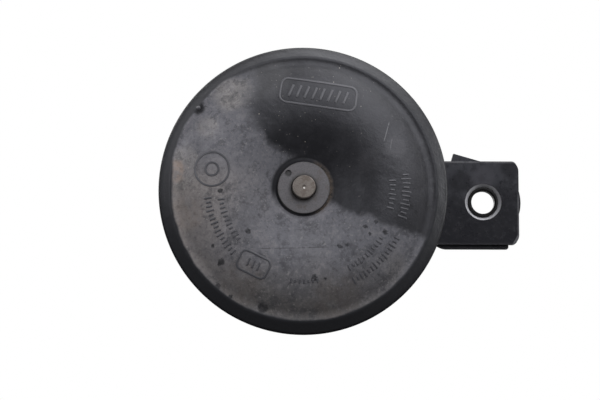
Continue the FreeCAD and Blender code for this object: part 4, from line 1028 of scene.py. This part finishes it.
class HORN_OT_stage(bpy.types.Operator):
    """Sets the camera, the soft light, the pale floor and the white background."""

    bl_idname = "horn.stage"
    bl_label = "Stage"
    bl_options = {"REGISTER", "UNDO"}

    def execute(self, context):
        scene = context.scene
        look = scene.horn_stage
        scene.view_settings.view_transform = "Standard"
        self.set_camera(scene, look)
        self.set_world(scene, look.world_light)
        self.lay_floor(scene, look.floor_height)
        for name, right, depth, height, size, power in (
            ("soft_box_above", 0.42, -0.7, 0.62, 1.1, look.top_light),
            ("soft_box_overhead", 0.25, 0.3, 0.85, 0.9, look.rear_light),
            ("soft_box_behind", -0.55, 0.9, 0.55, 0.9, 1.7 * look.rear_light),
            ("soft_box_right", 0.95, 0.45, 0.1, 0.8, look.side_light),
            ("soft_box_beside", -0.9, -0.6, 0.3, 0.8, look.front_light),
        ):
            data = bpy.data.lights.new(name, "AREA")
            data.shape = "SQUARE"
            data.size = size
            data.energy = power
            lamp = bpy.data.objects.new(name, data)
            lamp.location = (AXIS_X + right, depth, height)
            aim = lamp.location - Vector((AXIS_X, DIAPHRAGM_Y, 0))
            lamp.rotation_euler = aim.to_track_quat("Z", "Y").to_euler()
            scene.collection.objects.link(lamp)
        return {"FINISHED"}

    def set_camera(self, scene, look):
        level = math.cos(look.elevation)
        back = Vector(
            (math.sin(look.azimuth) * level, -math.cos(look.azimuth) * level, math.sin(look.elevation))
        )
        data = bpy.data.cameras.new("camera")
        data.lens = look.lens
        data.sensor_width = 36
        data.clip_start = 0.01
        camera = bpy.data.objects.new("camera", data)
        camera.location = Vector(look.aim) + back * look.distance
        camera.rotation_euler = back.to_track_quat("Z", "Y").to_euler()
        scene.collection.objects.link(camera)
        scene.camera = camera

    def set_world(self, scene, light):
        """An even light, and a white background that shows to the camera, and behind the horn in
        whatever mirrors it or lets it through."""
        scene.world = bpy.data.worlds.new("studio")
        scene.world.use_nodes = True
        wiring = Wiring(scene.world.node_tree)
        rays = wiring.add("ShaderNodeLightPath").outputs
        towards = wiring.add("ShaderNodeTexCoord").outputs["Generated"]
        depth = wiring.add("ShaderNodeSeparateXYZ", Vector=towards).outputs["Y"]
        behind = wiring.fade(depth, 0.1, 0.5, smooth=False)
        bent = wiring.most(rays["Is Glossy Ray"], rays["Is Transmission Ray"])
        shows = wiring.math("MULTIPLY_ADD", bent, behind, rays["Is Camera Ray"], clamp=True)
        even = wiring.tree.nodes["Background"]
        wiring.feed(even.inputs["Color"], (1, 1, 1))
        wiring.feed(even.inputs["Strength"], light)
        white = wiring.add("ShaderNodeBackground", Color=(1, 1, 1))
        choose = wiring.add("ShaderNodeMixShader", Fac=shows)
        wiring.feed(choose.inputs[1], even.outputs[0])
        wiring.feed(choose.inputs[2], white.outputs[0])
        wiring.feed(wiring.tree.nodes["World Output"].inputs["Surface"], choose.outputs[0])

    def lay_floor(self, scene, height):
        mesh = bmesh.new()
        bmesh.ops.create_grid(mesh, x_segments=2, y_segments=2, size=4)
        shift(mesh, forward=height)
        data = bpy.data.meshes.new("floor")
        mesh.to_mesh(data)
        mesh.free()
        floor = bpy.data.objects.new("floor", data)
        scene.collection.objects.link(floor)
        pale = bpy.data.materials.new("pale_floor")
        pale.use_nodes = True
        wiring = Wiring(pale.node_tree)
        seen = wiring.add("ShaderNodeLightPath").outputs["Is Camera Ray"]
        for name, value in (
            ("Base Color", wiring.blend(seen, (0.1, 0.1, 0.1), (0.85, 0.85, 0.85))),
            ("Roughness", 0.9),
            ("Emission Color", (1, 1, 1)),
            ("Emission Strength", wiring.times(seen, 0.45)),
        ):
            wiring.feed(wiring.tree.nodes["Principled BSDF"].inputs[name], value)
        data.materials.append(pale)


def disc_section():
    """Face of the tone disc: seat, funnel, dome, gutter, ridge, shoulder and rim, going outwards."""
    low, high = span("tone_disc")
    rim, seat = high.x, span("tone_disc_washer")[0].z
    shoulder, ridge, gutter = low.z + 1.8, low.z + 5.4, low.z + 5.1
    crest, curve, bend = rim * 0.55, rim * 0.47, 4.0
    dome_end = rim - 7.8
    lean = (dome_end - crest) / curve
    fall = math.sqrt(1 - lean * lean)
    dome_end_height = gutter + bend * (1 - fall)
    funnel = math.radians(22)
    return [
        (WASHER_HOLE, seat),
        (10.6, seat, 0.8),
        (crest - curve * math.sin(funnel), dome_end_height + curve * (math.cos(funnel) - fall)),
        (dome_end, dome_end_height, "arc", -curve),
        (dome_end + bend * lean, gutter, "arc", bend),
        (rim - 4.1, ridge, 1.4),
        (rim, shoulder, 2.4),
        (rim, low.z),
    ]


class HORN_OT_tone_disc(bpy.types.Operator):
    """Pressed tone disc with its funnel, dome, gutter and ridge."""

    bl_idname = "horn.tone_disc"
    bl_label = "Tone disc"
    bl_options = {"REGISTER", "UNDO"}

    def execute(self, context):
        look = context.scene.horn_disc
        mesh = turned(disc_section(), closed=False, steps=look.steps, sheet=SHEET)
        hand_over(mesh, "painted_tone_disc", "striker", "disc_paint", DiscPaint(look).material, "tone_disc")
        return {"FINISHED"}


# Rows of plain bars on the disc: radius, first and last angle in degrees, how many, length of the longest
BAR_ROWS = (
    (33.0, 187, 223, 15, 2.7),
    (28.6, 189, 219, 11, 2.3),
    (36.2, 298, 331, 15, 2.6),
    (31.6, 299, 326, 11, 2.3),
    (35.0, 343, 367, 11, 3.4),
    (30.2, 346, 364, 7, 2.6),
    (32.4, 262, 278, 7, 1.7),
)
BAR_LENGTHS = (1.0, 0.6, 0.8)  # in turn, as shares of the longest
# Frames with slanted bars: middle, width, height, turn in degrees, then how many bars, how far apart,
# how wide and how long
FRAMES = (
    ((4.9, 32.0), 27.0, 9.5, -8, 8, 2.7, 0.8, 4.6),
    ((-17.2, -26.6), 11.5, 7.6, -26, 3, 1.9, 0.6, 2.8),
)
RINGS = ((5.5, 6.2), (1.9, 2.6))  # inner and outer radius of each
RINGS_SPOT = (-31.4, 6.0)
SLANT = math.radians(66)  # of the bars in the frames


class HORN_OT_marks(bpy.types.Operator):
    """Plain raised marks pressed in the face of the tone disc, and a drop of paint on it."""

    bl_idname = "horn.marks"
    bl_label = "Raised marks"
    bl_options = {"REGISTER", "UNDO"}

    def execute(self, context):
        rise = context.scene.horn_disc.marks_rise
        whole = bmesh.new()
        for inner, outer in RINGS:
            section = [(inner, -SUNK), (inner, rise, 0.15), (outer, rise, 0.15), (outer, -SUNK)]
            add_mesh(whole, turned(section, steps=64, at=RINGS_SPOT))
        for frame_sizes in FRAMES:
            add_mesh(whole, self.oblong(*frame_sizes[:4], rise))
        for reach, first, last, count, length in BAR_ROWS:
            for i in range(count):
                degrees = first + (last - first) * i / (count - 1)
                tall = length * BAR_LENGTHS[i % 3]
                add_mesh(whole, self.bar(polar(reach, degrees), math.radians(degrees), 0.62, tall, rise))
        for middle, _, _, turn, count, apart, width, length in FRAMES:
            for i in range(count):
                spot = Vector(middle) + Vector(polar(apart * (i - (count - 1) / 2), turn))
                add_mesh(whole, self.bar(spot, SLANT, width, length, rise))
        *spot, radius = PAINT_DROP
        section = [(0, -0.3), (radius, -0.3), (radius, 0.1), (0, 0.1 + radius * 0.6, "arc", radius)]
        add_mesh(whole, turned(section, steps=24, at=spot))

        face = turned(disc_section(), closed=False)
        ground = BVHTree.FromBMesh(face)
        face.free()
        for vert in whole.verts:
            above = Vector((vert.co.x, vert.co.y, 60))
            vert.co.z += ground.ray_cast(above, Vector((0, 0, -1)))[0].z
        hand_over(whole, "raised_marks", "striker", "disc_paint", bpy.data.materials["disc_paint"])
        return {"FINISHED"}

    def bar(self, spot, angle, width, length, rise):
        """A short plain bar, turned by an angle about its middle."""
        mesh = bmesh.new()
        bmesh.ops.create_grid(mesh, x_segments=4, y_segments=1, size=0.5)
        bmesh.ops.scale(mesh, vec=(length, width, 1), verts=mesh.verts[:])
        self.raise_mark(mesh, rise, 0.16)
        turn_about(mesh, spot, angle)
        return mesh

    def oblong(self, spot, width, height, turn, rise):
        """A plain oblong frame with rounded corners."""
        mesh = bmesh.new()
        bmesh.ops.create_grid(mesh, x_segments=1, y_segments=1, size=0.5)
        bmesh.ops.scale(mesh, vec=(width, height, 1), verts=mesh.verts[:])
        bevel(mesh, mesh.verts[:], height * 0.3, 8, "VERTICES")
        long_edges = [edge for edge in mesh.edges if edge.calc_length() > height * 0.35]
        bmesh.ops.subdivide_edges(mesh, edges=long_edges, cuts=12)
        bmesh.ops.inset_region(
            mesh, faces=mesh.faces[:], thickness=0.75, use_even_offset=True, use_boundary=True
        )
        middle = max(mesh.faces, key=lambda face: len(face.verts))
        bmesh.ops.delete(mesh, geom=[middle], context="FACES")
        self.raise_mark(mesh, rise, 0.18)
        turn_about(mesh, spot, math.radians(turn))
        return mesh

    def raise_mark(self, mesh, rise, edge):
        """Gives a flat mark its height, sunk below the face of the disc, with soft edges."""
        shift(mesh, forward=-SUNK)
        thicken(mesh, rise + SUNK)
        bevel(mesh, sharp_edges(mesh, (rise,)), edge)


class HORN_OT_stud(bpy.types.Operator):
    """Washer in the middle of the tone disc, with its punch mark, and the armature with its stud."""

    bl_idname = "horn.stud"
    bl_label = "Stud and washer"
    bl_options = {"REGISTER", "UNDO"}

    def execute(self, context):
        low, high = span("tone_disc_washer")
        radius, bore, back, front, mouth = high.x, 4.05, low.z, high.z, 0.35
        mark, mark_radius = (-5.3, 5.0), 1.15
        section = [
            (bore, back),
            (radius, back),
            (radius, front, 0.3),
            (bore + mouth, front),
            (bore, front - mouth),
        ]
        mesh = turned(section)
        self.punch(mesh, mark, mark_radius, front, 0.45)
        worn = mix_worn_washer(radius, mark, mark_radius)
        hand_over(mesh, "worn_disc_washer", "striker", "washer_steel", worn, "tone_disc_washer")

        low, high = span("armature")
        plunger, lip, stud, dimple = 10, 14, 4, 0.4  # radii, and the depth of the centre mark
        lip_front = span("diaphragm_rear_washer")[0].z
        lip_back = lip_front - 4.8
        rusty = mix_steel(
            "rusty_stud",
            (0.25, 0.225, 0.21),
            0.5,
            rust=0.5,
            rust_colour=(0.15, 0.125, 0.11),
            # the glint is a highlight painted in the stud's centre mark
            glint=(0.05, -0.4, 0.36),
        )
        section = [
            (0, low.z),
            (plunger, low.z, 0.4),
            (plunger, lip_back),
            (lip, lip_back, 0.3),
            (lip, lip_front, 0.3),
            (stud, lip_front),
            (stud, high.z, 0.4),
            (0.7, high.z),
            (0.25, high.z - dimple),
            (0, high.z - dimple),
        ]
        mesh = turned(section, closed=False)
        hand_over(mesh, "turned_armature", "striker", "armature_steel", rusty, "armature")
        return {"FINISHED"}

    def punch(self, mesh, spot, radius, height, depth):
        """Sinks a shallow round mark in the flat face at a height."""
        flat = [face for face in mesh.faces if all(abs(vert.co.z - height) < TOUCH for vert in face.verts)]
        bmesh.ops.delete(mesh, geom=flat, context="FACES")
        draw_circle(mesh, *spot, height, radius, 32)
        fill_flat(mesh, [edge for edge in mesh.edges if len(edge.link_faces) < 2])
        lip = ring_edges(mesh, radius, height, spot)
        inside = [
            face
            for face in mesh.faces
            if (face.calc_center_median().xy - Vector(spot)).length < radius * 0.98
        ]
        bmesh.ops.delete(mesh, geom=inside, context="FACES")
        lip = [edge for edge in lip if edge.is_valid]
        verts = points_among(bmesh.ops.extrude_edge_only(mesh, edges=lip)["geom"])
        shift(mesh, forward=-depth, verts=verts)
        space = Matrix.Translation((-spot[0], -spot[1], 0))
        bmesh.ops.scale(mesh, vec=(0.7, 0.7, 1), space=space, verts=verts)
        close_holes(mesh)


class HORN_OT_housing(bpy.types.Operator):
    """Pressed housing, clamp ring, gaskets and the rivets that close the horn."""

    bl_idname = "horn.housing"
    bl_label = "Housing"
    bl_options = {"REGISTER", "UNDO"}

    def execute(self, context):
        black = mix_housing_paint(context.scene.horn_paint.housing)
        low, high = span("housing")
        flange, front, bend = high.x, high.z, 2.2
        chamber, cup = flange - FLANGE_WIDTH, span("coil_bobbin")[1].x + 0.4
        floor, cup_floor = front - 10.6, low.z + SHEET
        inside = [
            (flange, front),
            (chamber, front, bend),
            (chamber, floor, bend),
            (cup, floor, bend),
            (cup, cup_floor, bend),
            (WASHER_HOLE, cup_floor),
        ]
        mesh = turned(inside, closed=False, steps=HOUSING_STEPS, sheet=SHEET)
        hand_over(mesh, "pressed_housing", "horn", "black_paint", black, "housing")

        low, high = span("clamp_ring")
        inner = chamber - 0.4
        section = [(inner, low.z), (flange, low.z), (flange, high.z, 0.35), (inner, high.z, 0.35)]
        mesh = turned(section, steps=HOUSING_STEPS)
        hand_over(mesh, "painted_clamp_ring", "horn", "black_paint", black, "clamp_ring")

        fibre = mix_plastic("gasket_fibre", (0.2, 0.15, 0.1), 0.9, 0.5)
        for node in ("front_gasket", "rear_gasket"):
            paint_node(node, fibre)

        scuffed = mix_steel("painted_rivet", (0.03, 0.03, 0.032), 0.42, rust=0.15, metallic=0.0)
        spots = [polar(flange - 3.7, 60 * i) for i in range(6)]
        mesh = rivet_heads(spots, 2.9, high.z, front - SHEET, 1.0)
        hand_over(mesh, "closing_rivets", "horn", "rivet_steel", scuffed, "flange_rivets")

        spots = [polar(28.6, degrees) for degrees in (20, 140, 260)]
        mesh = self.heads_outside("coil_plate_rivets", spots, 2.9, 1.0)
        hand_over(mesh, "coil_plate_rivet_heads", "horn", "rivet_steel", scuffed, "coil_plate_rivets")

        low, high = span("breaker_rivets")
        spots = [(side, (low.y + high.y) / 2) for side in (4.2, -4.2)]
        mesh = self.heads_outside("breaker_rivets", spots, 2.1, 0.6)
        hand_over(mesh, "breaker_rivet_heads", "horn", "rivet_steel", scuffed, "breaker_rivets")
        return {"FINISHED"}

    def heads_outside(self, node, spots, radius, rise):
        """Rivets as long as their CAD node."""
        low, high = span(node)
        return rivet_heads(spots, radius, high.z - rise, low.z + rise, rise)


class HORN_OT_terminals(bpy.types.Operator):
    """Terminal carrier, its rivets and the two blades."""

    bl_idname = "horn.terminals"
    bl_label = "Terminals"
    bl_options = {"REGISTER", "UNDO"}

    def execute(self, context):
        moulded = mix_plastic("carrier_plastic", (0.022, 0.022, 0.023), 0.5, 0.5)
        low, high = span("terminal_carrier")
        block_back, block_front = low.z + 6.0, high.z - SHEET
        bend = 1.6
        corners = [(low.x, low.y, bend), (high.x, low.y, bend), (high.x, high.y, bend), (low.x, high.y, bend)]
        mesh = plate(corners, block_back, block_front - block_back)
        bevel(mesh, sharp_edges(mesh, (block_back,)), 0.45, 3)
        left, right, half = low.x + 1, high.x - 1, 0.9
        rib = plate([(left, -half), (right, -half), (right, half), (left, half)], low.z, 6.1)
        far = [edge for edge in rib.edges if max(vert.co.z for vert in edge.verts) < block_back]
        bevel(rib, far, 0.3, 3)
        add_mesh(mesh, rib)
        foot = block_front - 0.2
        section = [(0, foot), (2.5, foot), (2.5, high.z), (0, high.z)]
        for up in (-RIVET_SPREAD, RIVET_SPREAD):
            add_mesh(mesh, turned(section, closed=False, steps=32, at=(-30.4, up)))
        hand_over(mesh, "moulded_carrier", "horn", "carrier_plastic", moulded, "terminal_carrier")

        low, high = span("terminal_rivets")
        spots = [((low.x + high.x) / 2, up) for up in (-RIVET_SPREAD, RIVET_SPREAD)]
        mesh = rivet_heads(spots, 2.5, high.z - 0.8, low.z + 0.8, 0.8)
        bare = mix_steel("bare_rivet", (0.42, 0.41, 0.4), 0.4, rust=0.1)
        hand_over(mesh, "terminal_rivet_heads", "horn", "rivet_steel", bare, "terminal_rivets")
        tinned = mix_steel(
            "tinned_brass", (0.5, 0.46, 0.36), 0.38, rust=0.08, grain=0.8, rust_colour=(0.16, 0.11, 0.06)
        )
        paint_node("blade_terminals", tinned)
        return {"FINISHED"}


class HORN_OT_adjuster(bpy.types.Operator):
    """Adjusting screw with its slot and thread, and its lock nut."""

    bl_idname = "horn.adjuster"
    bl_label = "Adjusting screw"
    bl_options = {"REGISTER", "UNDO"}

    def execute(self, context):
        plating = context.scene.horn_paint.plating
        plated = mix_steel("zinc_plating", plating, 0.4, rust=0.22, rust_colour=(0.13, 0.075, 0.04))
        low, high = span("adjusting_screw")
        at = ((low.x + high.x) / 2, (low.y + high.y) / 2)
        head, core, head_front = 4, 2.05, low.z + 3.4
        section = [
            (0, low.z),
            (head, low.z, 0.4),
            (head, head_front, 0.2),
            (core, head_front),
            (core, high.z),
            (0, high.z),
        ]
        mesh = turned(section, closed=False, steps=64, at=at)
        self.slot(mesh, at[1], low.z, 0.6, 1.6)
        add_mesh(mesh, thread(2.5, 0.8, 0.45, head_front, high.z - head_front, at))
        hand_over(mesh, "slotted_screw", "horn", "plated_steel", plated, "adjusting_screw")

        low, high = span("adjusting_lock_nut")
        mesh = nut(high.y - low.y, 2.5, low.z, high.z, at, chamfer_front=False)
        hand_over(mesh, "chamfered_lock_nut", "horn", "plated_steel", plated, "adjusting_lock_nut")
        paint_node("adjusting_screw_bush", plated)
        paint_node("adjusting_screw_tip", mix_plastic("pressed_board", (0.2, 0.1, 0.05), 0.65))
        return {"FINISHED"}

    def slot(self, mesh, middle, back, half, depth):
        """Sinks a slot across the rear end of a screw."""
        for side in (-half, half):
            cut_along(mesh, (0, middle + side, 0), (0, 1, 0))
        inner = []
        for face in mesh.faces:
            centre = face.calc_center_median()
            if abs(centre.y - middle) < half and centre.z < back + 0.5:
                inner.append(face)
        bmesh.ops.delete(mesh, geom=inner, context="FACES")
        drop = bmesh.ops.extrude_edge_only(mesh, edges=open_edges(mesh))["geom"]
        for vert in points_among(drop):
            vert.co.z = back + depth
        bmesh.ops.remove_doubles(mesh, verts=mesh.verts[:], dist=TOUCH)
        close_holes(mesh)


class HORN_OT_bracket(bpy.types.Operator):
    """Three plates of the bracket with the hollow rivet of the bolt hole."""

    bl_idname = "horn.bracket"
    bl_label = "Bracket"
    bl_options = {"REGISTER", "UNDO"}

    def execute(self, context):
        holes = [(0, 0, STUD_HOLE), (BOLT_HOLE, 0, EYELET)]
        clear = 7  # edges nearer to the bolt hole's middle keep their shape
        low, high = span("bracket_front_plate")
        levels = (low.z, high.z)
        gloss = mix_bracket_paint(context.scene.horn_paint.bracket, low, high)
        half, end, bend = (high.y - low.y) / 2, high.x, 0.9
        across, up = 1.5, 2.6  # how much of each corner is cut
        corners = [
            (-half, low.y, half),
            (end - across, low.y, bend),
            (end, low.y + up, bend),
            (end, high.y - up, bend),
            (end - across, high.y, bend),
            (-half, high.y, half),
        ]
        mesh = plate(corners, low.z, high.z - low.z, holes)
        bevel(mesh, ring_edges(mesh, EYELET, high.z, (BOLT_HOLE, 0)), 1.45, 1)
        bevel(mesh, outer_edges(mesh, levels, (BOLT_HOLE, 0), clear), 0.8, 4)
        hand_over(mesh, "front_bracket_plate", "horn", "bracket_paint", gloss, "bracket_front_plate")

        low, high = span("bracket_rear_leaf")
        neck, wide, end = 12.0, BOLT_HOLE - 15.4, high.x
        taper = wide - 6.5
        corners = [
            (-neck, -neck, neck),
            (taper, -neck, 3),
            (wide, low.y, 2),
            (end, low.y, 0.8),
            (end, high.y, 0.8),
            (taper, high.y, 1),
            (taper - 3, neck, 1),
            (-neck, neck, neck),
        ]
        mesh = plate(corners, low.z, high.z - low.z, holes)
        bevel(mesh, sharp_edges(mesh, (low.z, high.z)), 0.25)
        hand_over(mesh, "rear_bracket_leaf", "horn", "bracket_paint", gloss, "bracket_rear_leaf")

        low, high = span("bracket_end_plate")
        half, tail, end = 14.6, 15.0, 14.0
        nose = half - 0.01  # the outer end is round
        corners = [(-tail, -half, 1), (end, -half, nose), (end, half, nose), (-tail, half, 0.3)]
        mesh = plate(corners, low.z, high.z - low.z, [(0, 0, EYELET)])
        bevel(mesh, ring_edges(mesh, EYELET, low.z), 1.3, 1)
        bevel(mesh, outer_edges(mesh, (low.z, high.z), (0, 0), clear), 0.3)
        turn_about(mesh, (BOLT_HOLE, 0), math.radians(-16))
        hand_over(mesh, "turned_end_plate", "horn", "bracket_paint", gloss, "bracket_end_plate")

        low, high = span("bracket_eyelet")
        back, front, bore, tube, mouth = low.z, high.z, 4.2, 5.2, 4.7
        section = [
            (mouth, back),
            (6.0, back, 0.15),
            (tube, back + 0.8),
            (tube, front - 0.8),
            (5.55, front, 0.15),
            (mouth, front),
            (bore, front - 0.5),
            (bore, back + 0.5),
        ]
        mesh = turned(section, at=(BOLT_HOLE, 0))
        dark = mix_steel("blackened_eyelet", (0.004, 0.004, 0.005), 0.33, metallic=0.0, specular=0.2)
        hand_over(mesh, "flared_eyelet", "horn", "eyelet_steel", dark, "bracket_eyelet")
        return {"FINISHED"}


class HORN_OT_fastening(bpy.types.Operator):
    """Core with its threaded stud, and the washers and nut that hold the bracket."""

    bl_idname = "horn.fastening"
    bl_label = "Rear fastening"
    bl_options = {"REGISTER", "UNDO"}

    def execute(self, context):
        plated = bpy.data.materials["zinc_plating"]
        low, high = span("pole_core")
        floor, core, root = span("housing")[0].z + SHEET, 10, 3.4
        section = [
            (0, low.z),
            (root, low.z, 0.5),
            (root, floor),
            (core, floor),
            (core, high.z, 0.3),
            (0, high.z),
        ]
        mesh = turned(section, closed=False, steps=72)
        add_mesh(mesh, thread(4.0, 1.25, 0.62, low.z + 0.5, floor - low.z - 0.6))
        hand_over(mesh, "core_with_thread", "horn", "plain_steel", plated, "pole_core")

        low, high = span("bracket_washer")
        mesh = turned([(WASHER_HOLE, low.z), (high.x, low.z, 0.3), (high.x, high.z), (WASHER_HOLE, high.z)])
        hand_over(mesh, "plain_washer", "horn", "plated_steel", plated, "bracket_washer")

        low, high = span("bracket_spring_washer")
        section = [
            (WASHER_HOLE, low.z),
            (high.x, low.z, 0.2),
            (high.x, high.z, 0.2),
            (WASHER_HOLE, high.z),
        ]
        split = 0.12
        mesh = turned_sector(section, math.pi / 2 + split / 2, math.tau - split, 96)
        hand_over(mesh, "split_spring_washer", "horn", "plated_steel", plated, "bracket_spring_washer")

        low, high = span("bracket_nut")
        mesh = nut(13.0, 4.0, low.z, high.z)
        hand_over(mesh, "chamfered_nut", "horn", "plated_steel", plated, "bracket_nut")
        return {"FINISHED"}


class HORN_OT_diaphragm(bpy.types.Operator):
    """Spring diaphragm in sectors, cut at several radii, that reach from their middle, on the striker, to
    their clamped edge.
    """

    bl_idname = "horn.diaphragm"
    bl_label = "Diaphragm"
    bl_options = {"REGISTER", "UNDO"}

    def execute(self, context):
        count = 16
        spring = mix_steel("spring_steel", (0.45, 0.46, 0.5), 0.3, grain=0.25)
        clamped = span("housing")[1].x - FLANGE_WIDTH
        washer, edge = span("diaphragm_front_washer")[1].x, span("diaphragm")[1].x
        section = self.wave(washer + 9.0, clamped - 7.0, edge)
        cuts = range(int(washer) + 2, int(clamped), 2)
        half = math.pi / count
        for i in range(count):
            middle = math.tau * (i + 0.5) / count
            mesh = turned_sector(section, middle - half, 2 * half, 6, cuts)
            piece = hand_over(
                mesh, f"diaphragm_sector_{i + 1:02d}", None, "spring_steel", spring, "diaphragm"
            )
            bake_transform(piece)
        return {"FINISHED"}

    def wave(self, inner, outer, edge):
        """Section of the sheet with its pressed wave, which stands up from inner to outer."""
        sheet, rise, slope = 0.4, 0.9, 1.6
        line = (
            (WASHER_HOLE, 0), (inner, 0), (inner + slope, rise), (outer - slope, rise), (outer, 0), (edge, 0)
        )
        points = [(reach, height - sheet / 2) for reach, height in line]
        return points + [(reach, height + sheet / 2) for reach, height in reversed(line)]


class HORN_OT_inside(bpy.types.Operator):
    """Finishes of the pieces inside the horn."""

    bl_idname = "horn.inside"
    bl_label = "Inside pieces"
    bl_options = {"REGISTER", "UNDO"}

    def execute(self, context):
        plain = mix_steel("plain_steel", (0.42, 0.42, 0.43), 0.4, rust=0.12)
        contact = mix_steel("contact_metal", (0.6, 0.6, 0.6), 0.25)
        copper = mix_steel("enamelled_copper", (0.55, 0.2, 0.08), 0.35, grain=0.3)
        bobbin = mix_plastic("bobbin_plastic", (0.6, 0.57, 0.48), 0.55)
        spring, board = bpy.data.materials["spring_steel"], bpy.data.materials["pressed_board"]
        for finish, nodes in (
            (plain, ("diaphragm_front_washer", "diaphragm_rear_washer", "stud_collar", "coil_plate")),
            (plain, ("moving_contact_arm", "fixed_contact_arm", "breaker_clamp_plate")),
            (spring, ("breaker_leaf_spring",)),
            (contact, ("moving_contact_point", "fixed_contact_point")),
            (copper, ("coil_winding", "coil_lead_to_terminal")),
            (copper, ("coil_lead_to_breaker", "breaker_lead_to_terminal")),
            (board, ("breaker_base_insulator", "breaker_middle_insulator")),
            (board, ("breaker_top_insulator", "terminal_inner_insulator")),
            (bobbin, ("coil_bobbin",)),
        ):
            for node in nodes:
                paint_node(node, finish)
        return {"FINISHED"}


SETTINGS = {
    "horn_stage": HornStageSettings,
    "horn_disc": HornDiscSettings,
    "horn_paint": HornPaintSettings,
}
OPERATORS = [
    HORN_OT_stage,
    HORN_OT_tone_disc,
    HORN_OT_marks,
    HORN_OT_stud,
    HORN_OT_housing,
    HORN_OT_terminals,
    HORN_OT_adjuster,
    HORN_OT_bracket,
    HORN_OT_fastening,
    HORN_OT_diaphragm,
    HORN_OT_inside,
]


class HORN_PT_panel(bpy.types.Panel):
    """Lists the settings of the horn and the steps that build it."""

    bl_idname = "HORN_PT_panel"
    bl_label = "Car Horn"
    bl_space_type = "VIEW_3D"
    bl_region_type = "UI"
    bl_category = "Horn"

    def draw(self, context):
        column = self.layout.column(align=True)
        for group, settings in SETTINGS.items():
            for name in settings.__annotations__:
                column.prop(getattr(context.scene, group), name)
        for operator in OPERATORS:
            column.operator(operator.bl_idname)


CLASSES = [*SETTINGS.values(), *OPERATORS, HORN_PT_panel]


def register():
    for item in CLASSES:
        bpy.utils.register_class(item)
    for group, settings in SETTINGS.items():
        setattr(bpy.types.Scene, group, PointerProperty(type=settings))


def unregister():
    for group in SETTINGS:
        delattr(bpy.types.Scene, group)
    for item in reversed(CLASSES):
        bpy.utils.unregister_class(item)


def main():
    register()
    bpy.ops.horn.stage()
    bpy.ops.horn.tone_disc()
    bpy.ops.horn.marks()
    bpy.ops.horn.stud()
    bpy.ops.horn.housing()
    bpy.ops.horn.terminals()
    bpy.ops.horn.adjuster()
    bpy.ops.horn.bracket()
    bpy.ops.horn.fastening()
    bpy.ops.horn.diaphragm()
    bpy.ops.horn.inside()


if __name__ == "__main__":
    main()
